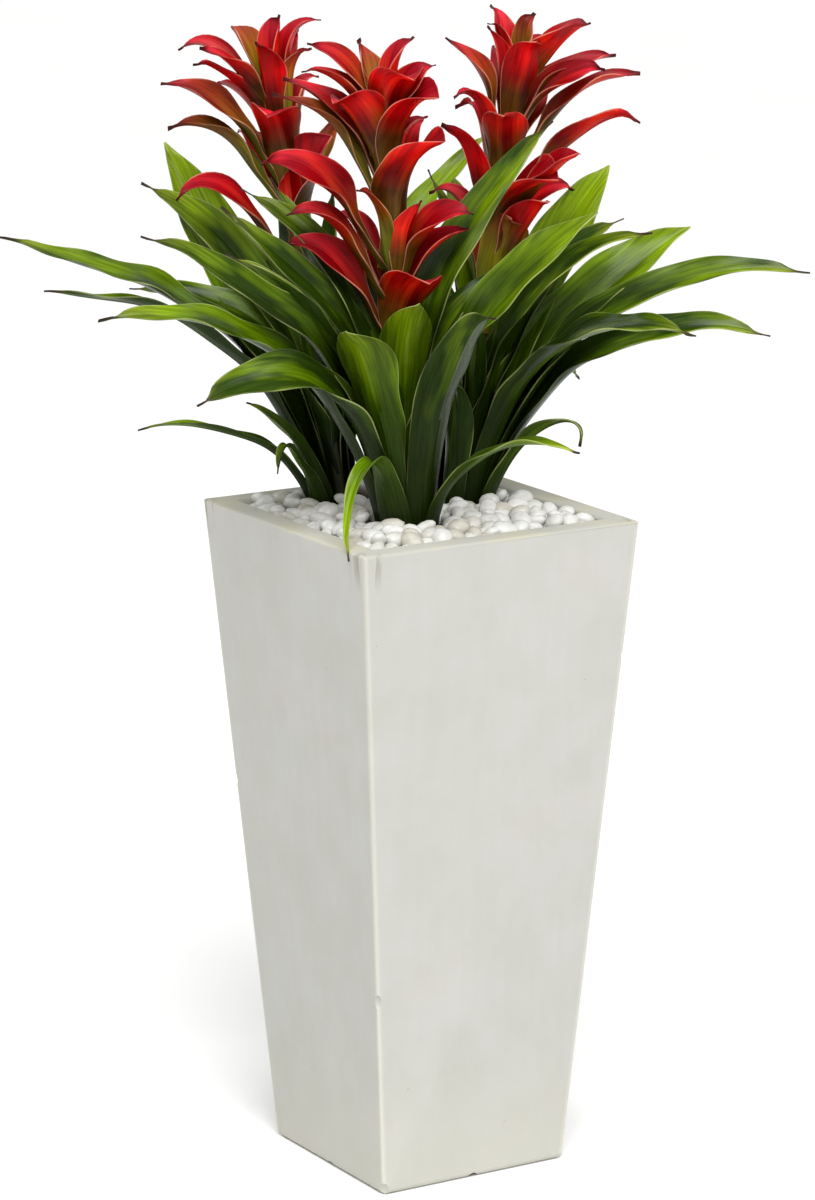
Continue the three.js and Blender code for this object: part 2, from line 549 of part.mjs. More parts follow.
const object = new THREE.Group();
object.add(piece('planter', planterGeometry(), 'planter'));
object.add(piece('growing_medium', mediumGeometry(), 'growing_medium'));
object.add(piece('pebbles', pebblesGeometry(), 'pebbles'));
for (const [side, plant] of Object.entries(PLANTS)) {
  const frame = plantFrame(plant);
  frame.add(piece(`${side}_stem`, stemGeometry(plant.stalk), 'stem'));
  LEAVES[side].forEach((leaf, index) => {
    frame.add(piece(`${side}_leaf_${String(index + 1).padStart(2, '0')}`, leafGeometry(leaf), 'leaf'));
  });
  frame.add(piece(`${side}_bract_head`, headGeometry(BRACTS[side], plant.stalk), 'bract'));
  object.add(frame);
}

export default object;
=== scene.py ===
"""Potted bromeliad: three red-bracted plants in a tall tapered square planter topped with white pebbles.

Real sizes are in millimetres and are turned to metres where a mesh is made. Angles are in degrees.
"""
import math
import random
from bisect import bisect_right

import bmesh
import bpy
from mathutils import Matrix, Vector


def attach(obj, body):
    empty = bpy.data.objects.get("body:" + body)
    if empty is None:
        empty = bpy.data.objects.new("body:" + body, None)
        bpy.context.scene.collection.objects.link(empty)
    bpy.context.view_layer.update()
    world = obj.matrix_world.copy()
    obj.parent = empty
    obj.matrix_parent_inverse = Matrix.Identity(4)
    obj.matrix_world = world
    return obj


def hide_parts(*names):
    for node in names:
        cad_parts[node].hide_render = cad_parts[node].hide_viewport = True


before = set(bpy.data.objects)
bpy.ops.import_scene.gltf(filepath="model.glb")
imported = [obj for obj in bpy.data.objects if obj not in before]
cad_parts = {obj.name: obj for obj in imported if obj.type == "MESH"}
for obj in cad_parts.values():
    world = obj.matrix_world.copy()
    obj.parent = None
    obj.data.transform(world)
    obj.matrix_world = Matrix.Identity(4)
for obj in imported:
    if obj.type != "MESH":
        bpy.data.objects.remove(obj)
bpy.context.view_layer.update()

MM = 0.001

# Planter
PLANTER_HEIGHT = 530
PLANTER_TOP = 250
PLANTER_FOOT = 168
PLANTER_WALL = 21
PLANTER_FLOOR = 30
PLANTER_CORNER = 2
RIM_ROUND = 3
FOOT_ROUND = 6
NOTCH_WIDTH = 11
NOTCH_HEIGHT = 4
NOTCH_DEPTH = 26
# How upright a level face's normal is, and the least angle of a sharp edge, in radians
LEVEL = 0.9
SHARP = 0.5
# Chips on the upright edges: which corner, the height and the radius
EDGE_CHIPS = ((-1, -1, 166, 4.0), (-1, -1, 2, 6.0), (1, -1, 420, 3.0), (-1, 1, 300, 3.4))
CHIP_OUTSET = 0.1
CHIP_STRETCH = 1.6

# Filling
PEBBLE_BED_TOP = 516
PEBBLE_MOUND = 12
MOUND_REACH = 1.15
PEBBLE_SPACING = 14.5
PEBBLE_SIZE = (10.4, 8.2, 5.8)
PEBBLE_SCALES = (0.7, 1.18)
PEBBLE_KINDS = 4
PEBBLE_LUMPS = 5
PEBBLE_SEED = 11
# The height of each course over the bed, and the share of its stones that is kept
PEBBLE_COURSES = ((-3, 1.0), (4, 1.0), (9.5, 0.6))
# Shares of the spacing: from row to row, and how far each course moves on from the one below
ROW_PITCH = 0.87
COURSE_SHIFT = (0.33, 0.4)
# How far a stone strays to the sides and in height, and how far it tips and rolls
PEBBLE_STRAY = (2.4, 2.2, 1.5)
PEBBLE_TIP = 34
PEBBLE_ROLL = 26
# How near a stone lies to the wall, as a share of its length, and how closely it follows the mound
WALL_SHARE = 0.8
MOUND_SHARE = 0.7
# The pebbles' height in a plant's own frame, and how far they stay off its axis
PEBBLE_LEVEL = -8
PLANT_CLEARANCE = 31

# Plants: a plant's own frame starts where it comes out of the pebbles, with Z along its stalk
PLANT_FOOT = 533
ROOTSTOCK_TOP = -21
ROOTSTOCK_BOTTOM = -56
ROOTSTOCK_RADIUS = 26
# The rootstock's foot, as shares of its radius: how wide it is and how high it is drawn in
ROOTSTOCK_FOOT = (0.7, 0.3)
STALK_RADIUS = 5
# How much wider the stalk is at its foot, over what height, and how wide it is at its top, as a share
STALK_FLARE = (1.5, 4)
STALK_TAPER = 0.96
SHEATH_RADIUS = 8.5
SHEATH_STEP = 2.1
SHEATH_WRAP = 74
LEAF_THICKNESS = 0.9
LEAF_BLUNT = 2.4
LEAF_LEAST = 6
LEAF_CHANNEL = 44
LEAF_OPENS = (0.45, 0.9)
LEAF_OPENING = 0.7
LEAF_FOOT_SHARE = 0.85
LEAF_SWELL = (0.1, 0.55)
LEAF_POINT = 0.5
LEAF_THREAD = (0.93, 0.98)
LEAF_TURN = (0, 0.67)
LEAF_ROWS = 64
LEAF_COLUMNS = 12
BRACT_THICKNESS = 0.8
BRACT_LEAST = 5
BRACT_CUP = 66
BRACT_OPENS = (0.55, 0.9)
BRACT_OPENING = 0.9
BRACT_CLAW_SHARE = 0.54
BRACT_SWELL = (0.2, 0.68)
BRACT_POINT = 0.66
BRACT_BLUNT = 1.55
BRACT_THREAD = (0.93, 0.985)
BRACT_ROOT = 3
BRACT_DROP = 16
BRACT_LEAN = 18
BRACT_ROLL = 18
BRACT_WIDTH = 28
BRACT_SLIM = 0.85
BRACT_ROWS = 30
BRACT_COLUMNS = 10
# A bract's tip is skewed by its sway over the first, up to the second
SKEW_SWAY = 18
SKEW_MOST = 0.34
STALK_LEAVES = 7
STALK_LEAF_START = 40
STALK_LEAF_TURN = 137
STALK_LEAF_WIDTH = 24
STALK_LEAF_LENGTH = (80, 115)
STALK_LEAF_SPREAD = 0.22
STALK_LEAF_POINT = 0.4
STALK_BARE = 60
HEAD_CORE = 6.5
HEAD_PEAK = 10
HEAD_TAPER = 60
HEAD_TIP = 0.4
PLANT_SEED = 100
SEAT_GAP = 0.3

# Blades: where each change of form starts and over how much of the length, both as shares of it
FREE = (0.2, 0.35)
RUFFLED = (0.2, 0.3)
TWISTED = (0.25, 0.5)
SKEWED = (0.6, 0.4)
TIPPED = (0.86, 0.14)
# How far along the blade each wave goes in one radian, and how strong the lesser waves are
RISE_WAVE = 17
DRIFT_WAVE = 25
BREADTH_WAVE = 13
RUFFLE_WAVE = 9.5
DRIFT_SHARE = 0.8
BREADTH_SHARE = 0.05
# A leaf blunter than this, and a bract at least as blunt, ends in a round lip and not in a thread
ROUND_END = 3
THREAD_HALF = 0.5
# The least half width that a blade's map is drawn for
CHART_HALF = 2
MIDRIB_STEPS = 160
# The midrib's groove: its depth, how many times wider the blade is, and the half width where it fades;
# and how steeply the blade's two halves rise from it
MIDRIB_GROOVE = 0.6
MIDRIB_SHARE = 6
MIDRIB_HALF = 6
MIDRIB_FOLD = 0.24

PLANTS = {
    "left": dict(at=(-28, 76), lean=9.5, towards=130, stalk=165),
    "centre": dict(at=(-29, -29), lean=5, towards=200, stalk=110),
    "right": dict(at=(52, 20), lean=7.5, towards=-8, stalk=130),
}

# Camera, set so that the planter's corners fall where the photograph has them
CAMERA_AZIMUTH = -31.33
CAMERA_ELEVATION = 13.26
CAMERA_DISTANCE = 3.859
CAMERA_LENS = 144.6
CAMERA_AIM = (-0.009, 0.201, 0.25)
# The azimuth that points to the left of the view
LEFT_IN_VIEW = 148.7


def strap(ring, azimuth, reach, rise, pitch, width, tone, **own):
    """One leaf's row: which ring of sheaths it is in, which way it points, how far out and how high its
    tip is, the tip's slope, its width, how bright it is, and what it has of its own."""
    return dict(own, ring=ring, azimuth=azimuth, reach=reach, rise=rise, pitch=pitch, width=width,
                tone=tone)


def spoon(root, azimuth, reach, rise, pitch, **own):
    """One bract's row: the height of its root on the stalk, which way it points, how far out and how high
    its tip is, the tip's slope, and what it has of its own."""
    return dict(own, root=root, azimuth=azimuth, reach=reach, rise=rise, pitch=pitch)


# The leaves of each plant, from the innermost sheath out
LEAVES = {
    "left": [
        strap(0, 125, 130, 265, 34, 38, 0.3, late=0.45, roll=-50),
        strap(1, 25, 60, 240, 70, 32, 0.15),
        strap(1, 143, 140, 187, 12, 32, 0.15, early=0.55, late=0.5, roll=-30),
        strap(2, 120, 121, 291, 66, 52, 1, blunt=3.2, early=0.38, roll=-45, sway=-22),
        strap(2, 5, 210, 260, 30, 34, 0.8, roll=30),
        strap(3, 60, 130, 270, 40, 36, 0.1, lean=6, early=0.5, late=0.3),
        strap(3.5, 165, 237, 248, 25, 34, 0.25, lean=7, late=0.5, roll=-30),
        strap(4.5, 85, 190, 220, 10, 36, 0.15),
        strap(5, 172, 215, 203, 12, 28, 0.05, roll=-12),
        strap(6, 205, 103, 93, 25, 13, 0.5, foot=1.7, lean=8),
        strap(7, 165, 153, 79, 0, 15, 0.5, foot=1.8, lean=6, roll=-8),
        strap(7, 70, 150, 110, -30, 32, 0.1),
        strap(8, 200, 70, 30, -70, 10, 0.4, foot=2.4, late=0.9),
    ],
    "centre": [
        strap(0, 130, 120, 260, 29, 36, 0.15, roll=-40),
        strap(0, 350, 139, 296, 38, 36, 0.25, early=0.5, roll=40),
        strap(3.5, 102, 125, 255, 50, 32, 0.1, lean=2, roll=-30, sway=8),
        strap(1, 240, 45, 180, 60, 60, 0.85, blunt=3.2, foot=0.42, swell=(0.2, 0.76), sway=18),
        strap(2, 144, 130, 250, 40, 34, 0.1, lean=4, early=0.35, late=0.6, roll=-35),
        strap(2, 344, 110, 185, 5, 30, 0.2, roll=25),
        strap(3, 182, 145, 235, 33, 32, 0.2, early=0.4, roll=-20),
        strap(3, 319, 160, 240, 35, 42, 0.55, blunt=3.5, lean=1, early=0.4, roll=42, turn=(0.3, 0.7)),
        strap(4.8, 160, 190, 245, 31, 36, 0.05, lean=7, late=0.5, roll=-40),
        strap(3.9, 213, 80, 170, 63, 49, 0.65, blunt=7, foot=0.5, swell=(0.25, 0.82)),
        strap(5.2, 275, 140, 187, 20, 36, 0.0, blunt=2.6, lean=7, late=0.3, roll=-26, sway=-8),
        strap(6.6, 168, 235, 190, 0, 32, 0.4, lean=7, roll=-20),
        strap(5.7, 188, 192, 132, -10, 44, 0.15, blunt=3, lean=8, late=0.6, roll=-32),
        strap(7, 300, 155, 70, 0, 15, 0.6, foot=1.8, roll=10),
        strap(8, 217, 125, 0, -84, 16, 1, blunt=1.2, foot=1.9, lean=6, early=1.3, late=0.6),
    ],
    "right": [
        strap(0, 309, 128, 230, 19, 32, 0.3, roll=35),
        strap(0, 110, 70, 250, 60, 30, 0.1),
        strap(1, 349, 110, 230, 25, 30, 0.15, lean=2, roll=40),
        strap(2, 8, 110, 270, 57, 46, 0.95, blunt=4, roll=50),
        strap(2, 140, 90, 220, 40, 34, 0.5),
        strap(3, 341, 160, 230, 36, 46, 0.6, blunt=3.5, roll=38),
        strap(3, 75, 150, 250, 30, 30, 0.6),
        strap(5, 324, 250, 215, 7, 42, 0.4, roll=36),
        strap(4, 35, 190, 210, 10, 36, 0.15),
        strap(4, 290, 200, 165, 2, 38, 0.25, late=0.5, roll=32, turn=(0.2, 0.7)),
        strap(5, 90, 170, 170, -5, 34, 0.3),
        strap(6, 319, 227, 161, -6, 32, 0.25, roll=36),
        strap(7, 303, 95, 55, -100, 17, 0.35, foot=1.7, early=0.85),
        strap(7, 219, 65, 95, 15, 24, 0.1, blunt=1.6),
        strap(7, 20, 140, 90, -30, 30, 0.3),
    ],
}

# The bracts of each flower head, from the lowest up
BRACTS = {
    "left": [
        spoon(175, 60, 75, 245, -20),
        spoon(190, 240, 45, 260, 10),
        spoon(190, 159, 92, 255, -25, width=26, lean=30),
        spoon(205, 10, 60, 296, 40, width=26, tone=1),
        spoon(215, 90, 70, 290, -10),
        spoon(215, 299, 47, 283, 45, width=52, blunt=3, roll=45),
        spoon(235, 40, 76, 324, 30, width=26, tone=0.9),
        spoon(232, 149, 87, 310, 5, width=30, lean=24, tone=1),
        spoon(249, 254, 40, 314, 20, width=42, blunt=4.5, sway=-18),
        spoon(255, 154, 86, 345, 18, width=30, lean=24, tone=0.5),
        spoon(265, 110, 60, 335, 0),
        spoon(275, 359, 41, 328, -5, width=26, tone=0.1),
        spoon(285, 60, 55, 345, 0, tone=0.3),
        spoon(280, 230, 34, 367, 50, width=34, blunt=2),
        spoon(290, 309, 35, 354, 30, width=28, tone=0.7),
        spoon(288, 169, 60, 359, 25, width=28),
        spoon(300, 144, 70, 365, -30, width=28, lean=22),
        spoon(305, 9, 38, 364, 35, width=20),
        spoon(302, 190, 66, 362, 5, width=26, tone=0.1),
        spoon(308, 334, 45, 370, -15, width=30),
        spoon(318, 129, 25, 378, 60, width=32, blunt=4, tone=0.7),
        spoon(315, 320, 16, 379, 60, width=36, blunt=2.4, sway=6),
    ],
    "centre": [
        spoon(120, 60, 70, 190, -10),
        spoon(128, 250, 42, 201, 30, width=46, blunt=4.5, sway=19),
        spoon(145, 60, 68, 205, -15),
        spoon(146, 144, 84, 219, -15, width=34, lean=28),
        spoon(165, 100, 62, 235, -10),
        spoon(172, 334, 60, 226, 15, width=38, lean=24),
        spoon(178, 159, 80, 247, -15, width=34, lean=30, tone=0.2),
        spoon(188, 290, 32, 252, 40, width=34),
        spoon(186, 317, 66, 241, -25, width=38, lean=20),
        spoon(200, 55, 75, 275, -5),
        spoon(205, 205, 42, 270, 30, width=26, tone=0.8),
        spoon(206, 154, 96, 287, -20, width=38, lean=32),
        spoon(214, 268, 56, 306, 30, width=52, blunt=3.5, sway=19),
        spoon(230, 30, 62, 300, -10),
        spoon(240, 85, 60, 315, 0),
        spoon(244, 139, 85, 335, 15, width=26, tone=0.8),
        spoon(255, 359, 40, 305, -20, width=30),
        spoon(268, 40, 60, 335, 20, width=28, tone=0.8),
        spoon(264, 128, 83, 342, 10, width=30, tone=0.05),
        spoon(268, 280, 44, 335, 10, width=46, blunt=4, sway=17),
        spoon(274, 205, 40, 337, 30, width=42, blunt=4, sway=-18),
        spoon(295, 75, 40, 360, 20, tone=0.6),
        spoon(290, 250, 35, 354, 30, width=42, blunt=4.5, sway=17),
        spoon(292, 159, 60, 361, 10, width=26, tone=0.3),
        spoon(300, 339, 40, 356, 30, width=36, lean=20),
        spoon(308, 144, 55, 371, 0, width=28, tone=0.2),
        spoon(312, 340, 26, 376, 50, width=36, blunt=2),
        spoon(322, 99, 28, 372, 60, width=30, tone=0.7),
    ],
    "right": [
        spoon(140, 60, 70, 210, -10),
        spoon(155, 262, 36, 226, 50, width=42, blunt=3, tone=0.95),
        spoon(165, 120, 60, 235, -15),
        spoon(172, 283, 56, 246, 50, width=36, blunt=3),
        spoon(180, 10, 80, 250, -15),
        spoon(192, 266, 56, 264, 30, width=52, blunt=4.5, sway=17),
        spoon(205, 60, 80, 280, -10),
        spoon(208, 175, 56, 286, 5, width=36, lean=24),
        spoon(214, 289, 69, 284, 55, width=36, blunt=4.5, lean=22, roll=50),
        spoon(235, 95, 60, 305, -10),
        spoon(234, 313, 105, 315, 0, width=34, lean=34, blunt=1.3),
        spoon(250, 35, 70, 320, -5, tone=0.3),
        spoon(246, 242, 38, 309, 40, width=40, blunt=3, sway=-8),
        spoon(256, 336, 100, 345, 5, width=26, lean=24, tone=0.3),
        spoon(264, 164, 48, 315, -20, width=34, lean=24),
        spoon(280, 75, 50, 350, 0),
        spoon(285, 256, 38, 367, 60, width=36, blunt=3.4, sway=0),
        spoon(283, 149, 55, 360, 30, width=23, tone=0.4),
        spoon(284, 327, 70, 351, 15, width=34),
        spoon(292, 350, 85, 357, 10, width=32),
        spoon(305, 35, 60, 365, 10),
        spoon(306, 176, 28, 370, 40, width=22),
        spoon(322, 112, 27, 388, 50, width=26),
        spoon(318, 299, 63, 383, 35, width=52, blunt=2.6, lean=20),
        spoon(318, 150, 24, 376, 30, width=26, tone=0.2),
        spoon(330, 330, 10, 385, 70, width=30, tone=0.85),
    ],
}


def linear(hex_colour):
    """An sRGB hex colour as the linear values that a shader takes."""
    channels = [int(hex_colour[i:i + 2], 16) / 255 for i in (1, 3, 5)]
    return [c / 12.92 if c <= 0.04045 else ((c + 0.055) / 1.055) ** 2.4 for c in channels] + [1.0]


def clamp(x, low=0.0, high=1.0):
    return min(high, max(low, x))


def smooth(x):
    x = clamp(x)
    return x * x * (3 - 2 * x)


def onset(s, start, over):
    return smooth((s - start) / over)


def between(x, low, high):
    return (x - low) / (high - low)


def outer_side(z):
    return PLANTER_FOOT + (PLANTER_TOP - PLANTER_FOOT) * z / PLANTER_HEIGHT


def inner_side(z):
    return outer_side(z) - 2 * PLANTER_WALL


def plant_frame(plant):
    """A plant's own frame, in millimetres: its foot's place and the turn that leans its axis."""
    towards = math.radians(plant["towards"])
    hinge = Vector((-math.sin(towards), math.cos(towards), 0))
    place = Matrix.Translation((plant["at"][0], plant["at"][1], PLANT_FOOT))
    return place @ Matrix.Rotation(math.radians(plant["lean"]), 4, hinge)


# Materials

# The two colours that a Mix node takes and the one it gives, by socket number: their names repeat
A, B, MIXED = 6, 7, 2
COLOURS = {"data_type": "RGBA"}
MULTIPLIED = {"data_type": "RGBA", "blend_type": "MULTIPLY"}
FLAT = {"noise_dimensions": "2D"}
EASED = {"interpolation_type": "SMOOTHSTEP"}
SUM = {"operation": "ADD", "use_clamp": True}
PRODUCT = {"operation": "MULTIPLY", "use_clamp": True}


def add(tree, kind, settings=None, takes=(), stops=None, gives=0):
    """Adds one node with its settings, what its sockets take, by name or in order, and its ramp's stops,
    and returns one of its outputs."""
    node = tree.nodes.new("ShaderNode" + kind)
    for name, value in (settings or {}).items():
        setattr(node, name, value)
    for socket, source in takes.items() if isinstance(takes, dict) else enumerate(takes):
        if isinstance(source, bpy.types.NodeSocket):
            tree.links.new(source, node.inputs[socket])
        else:
            node.inputs[socket].default_value = source
    if stops:
        ramp = node.color_ramp
        while len(ramp.elements) > 1:
            ramp.elements.remove(ramp.elements[-1])
        for index, (place, colour) in enumerate(stops):
            stop = ramp.elements[0] if index == 0 else ramp.elements.new(place)
            stop.position = place
            stop.color = linear(colour) if isinstance(colour, str) else (colour,) * 3 + (1.0,)
    return node.outputs[gives]


def new_material(name, **constants):
    """An empty material with its shader, whose constants are set on the shader's own sockets."""
    material = bpy.data.materials.new(name)
    material.use_nodes = True
    tree = material.node_tree
    shader = tree.nodes["Principled BSDF"]
    for socket, value in constants.items():
        shader.inputs[socket.replace("_", " ")].default_value = value
    return material, tree, shader


def blade_patterns(tree, rib_spacing):
    """What a blade's own map and attributes give: run, edge, underside, tone, streaks, ribs, patches."""
    chart = add(tree, "UVMap", {"uv_map": "blade"}, gives="UV")
    reads = [add(tree, "Attribute", {"attribute_name": name}, gives="Fac")
             for name in ("run", "edge", "under", "tone")]
    stretched = add(tree, "Mapping", {}, {"Vector": chart, "Scale": (1.0, 0.04, 1.0)})
    # Streaks run along the blade, about 2 mm apart
    streaks = add(tree, "TexNoise", FLAT,
                  {"Vector": stretched, "Scale": 500.0, "Detail": 3.0, "Roughness": 0.6})
    ribs = add(tree, "TexNoise", FLAT,
               {"Vector": stretched, "Scale": 1 / (rib_spacing * MM), "Detail": 1.0})
    # Patches about 17 mm wide and 67 mm long
    drawn = add(tree, "Mapping", {}, {"Vector": chart, "Scale": (1.0, 0.25, 1.0)})
    patches = add(tree, "TexNoise", FLAT, {"Vector": drawn, "Scale": 60.0, "Detail": 2.0})
    return reads + [streaks, ribs, patches]


def eased_product(tree, *spans):
    """The product of several patterns, each eased from one range of values to another."""
    product = add(tree, "MapRange", EASED, spans[0])
    for span in spans[1:]:
        eased = add(tree, "MapRange", EASED, span)
        product = add(tree, "Math", PRODUCT, (product, eased))
    return product


def plug(tree, shader, **patterns):
    """Links patterns to the shader's own sockets."""
    for socket, pattern in patterns.items():
        tree.links.new(pattern, shader.inputs[socket.replace("_", " ")])


def leaf_material():
    """Living strap leaf: a waxy cuticle over green tissue, so a soft satin sheen over dark olive green,
    with fine lengthwise veins, brighter patches, a thin pale margin and a dry brown tip."""
    material, tree, shader = new_material("living_strap_leaf", Roughness=0.4, IOR=1.45)
    run, edge, under, tone, streaks, ribs, patches = blade_patterns(tree, 1.6)
    # Both ramps run from near black at the foot to brighter green towards the tip: partly the leaf's own
    # colour, partly painted shade where the leaves crowd at the foot and painted light shining through the
    # thin outer blade
    dark = add(tree, "ValToRGB", {}, {"Fac": run}, [
        (0.0, "#12180A"), (0.15, "#1A2408"), (0.35, "#1E2C08"), (0.6, "#233606"), (0.9, "#2E4608"),
        (0.95, "#3E4A18"), (0.97, "#3A2A1C"), (1.0, "#2A1E18")])
    bright = add(tree, "ValToRGB", {}, {"Fac": run}, [
        (0.0, "#10150A"), (0.15, "#1D2706"), (0.33, "#364D04"), (0.55, "#5C7E02"), (0.85, "#86A408"),
        (0.95, "#8E9E28"), (0.975, "#4E3A20"), (1.0, "#2E2018")])
    swing = add(tree, "MapRange", {}, (patches, 0.35, 0.65, -0.35, 0.4))
    brightness = add(tree, "Math", SUM, (tone, swing))
    green = add(tree, "Mix", COLOURS, {"Factor": brightness, A: dark, B: bright}, gives=MIXED)
    shade = add(tree, "ValToRGB", {}, {"Fac": streaks}, [(0.3, 0.66), (0.5, 0.94), (0.7, 1.28)])
    green = add(tree, "Mix", MULTIPLIED, {"Factor": 1.0, A: green, B: shade}, gives=MIXED)
    # Painted shade: the lower face is drawn darker, toward deep green, as though it lay out of the light
    veil = add(tree, "Math", PRODUCT, (under, 0.35))
    green = add(tree, "Mix", COLOURS, {"Factor": veil, A: green, B: linear("#1C2A0A")}, gives=MIXED)
    # The margin is half a millimetre wide, and comes and goes
    rim = eased_product(tree, (edge, 0.2, 0.7, 0.55, 0.0), (run, 0.15, 0.4, 0.0, 1.0),
                        (run, 0.92, 0.95, 1.0, 0.0), (patches, 0.35, 0.65, 0.1, 1.0))
    green = add(tree, "Mix", COLOURS, {"Factor": rim, A: green, B: linear("#B4BA78")}, gives=MIXED)
    dullness = add(tree, "MapRange", {}, (streaks, 0.0, 1.0, 0.2, 0.38))
    # The cuticle is duller on the underside
    cuticle = add(tree, "MapRange", {}, (under, 0.0, 1.0, 0.26, 0.12))
    relief = add(tree, "Bump", {}, {"Strength": 0.35, "Distance": 0.0004, "Height": ribs})
    dents = add(tree, "Bump", {}, {"Strength": 0.4, "Distance": 0.002, "Height": patches, "Normal": relief})
    plug(tree, shader, Base_Color=green, Roughness=dullness, Specular_IOR_Level=cuticle, Normal=dents)
    return material


def bract_material():
    """Living bract: thinner and smoother tissue than the leaf, so a soft gloss over deep red that turns
    olive brown on the claw, with a thin pink margin, a pinker inner face and a dry dark tip."""
    material, tree, shader = new_material("living_red_bract", Roughness=0.42, IOR=1.45,
                                          Specular_IOR_Level=0.16)
    run, edge, under, tone, streaks, ribs, patches = blade_patterns(tree, 1.2)
    outer = add(tree, "ValToRGB", {}, {"Fac": run}, [
        (0.0, "#4A470C"), (0.28, "#54380A"), (0.45, "#4A1C06"), (0.57, "#8E0202"), (0.7, "#E40006"),
        (0.9, "#D80008"), (0.96, "#7A0A12"), (1.0, "#40141A")])
    inner = add(tree, "ValToRGB", {}, {"Fac": run}, [
        (0.0, "#464008"), (0.3, "#5A2408"), (0.5, "#9A0206"), (0.7, "#CC0416"), (0.9, "#D42438"),
        (0.96, "#74101C"), (1.0, "#40141A")])
    olive = add(tree, "ValToRGB", {}, {"Fac": run}, [
        (0.0, "#4A520F"), (0.3, "#5A6210"), (0.55, "#746C10"), (0.75, "#7C5412"), (0.9, "#862A16"),
        (1.0, "#3A1A16")])
    face = add(tree, "Mix", COLOURS, {"Factor": under, A: inner, B: outer}, gives=MIXED)
    swing = add(tree, "MapRange", {}, (patches, 0.3, 0.7, -0.15, 0.12))
    ripeness = add(tree, "Math", SUM, (tone, swing))
    face = add(tree, "Mix", COLOURS, {"Factor": ripeness, A: face, B: olive}, gives=MIXED)
    shade = add(tree, "ValToRGB", {}, {"Fac": streaks}, [(0.32, 0.72), (0.5, 0.96), (0.7, 1.2)])
    face = add(tree, "Mix", MULTIPLIED, {"Factor": 1.0, A: face, B: shade}, gives=MIXED)
    # Random patches make the red darker and lighter: partly its own uneven colour, partly painted shade and
    # painted light standing in for the folds
    uneven_red_and_painted_shade = add(tree, "ValToRGB", {}, {"Fac": patches}, [(0.36, 0.5), (0.5, 0.95), (0.64, 1.2)])
    face = add(tree, "Mix", MULTIPLIED, {"Factor": 1.0, A: face, B: uneven_red_and_painted_shade}, gives=MIXED)
    rim = eased_product(tree, (edge, 0.2, 0.8, 0.7, 0.0), (run, 0.86, 0.92, 1.0, 0.0),
                        (patches, 0.35, 0.6, 0.15, 1.0))
    face = add(tree, "Mix", COLOURS, {"Factor": rim, A: face, B: linear("#D8907A")}, gives=MIXED)
    relief = add(tree, "Bump", {}, {"Strength": 0.25, "Distance": 0.0003, "Height": ribs})
    dents = add(tree, "Bump", {},
                {"Strength": 0.5, "Distance": 0.0015, "Height": patches, "Normal": relief})
    plug(tree, shader, Base_Color=face, Normal=dents)
    return material


def stalk_material():
    """Living flower stalk and rootstock: fleshy dark olive tissue with faint lengthwise fibres."""
    material, tree, shader = new_material("living_stalk", Roughness=0.5, IOR=1.45)
    place = add(tree, "TexCoord", gives="Object")
    stretched = add(tree, "Mapping", {}, {"Vector": place, "Scale": (1.0, 1.0, 0.08)})
    # Fibres about 2 mm apart
    fibres = add(tree, "TexNoise", {}, {"Vector": stretched, "Scale": 500.0, "Detail": 2.0})
    colour = add(tree, "ValToRGB", {}, {"Fac": fibres},
                 [(0.3, "#1E220C"), (0.55, "#343A12"), (0.75, "#3E3414")])
    relief = add(tree, "Bump", {}, {"Strength": 0.4, "Distance": 0.0004, "Height": fibres})
    plug(tree, shader, Base_Color=colour, Normal=relief)
    return material


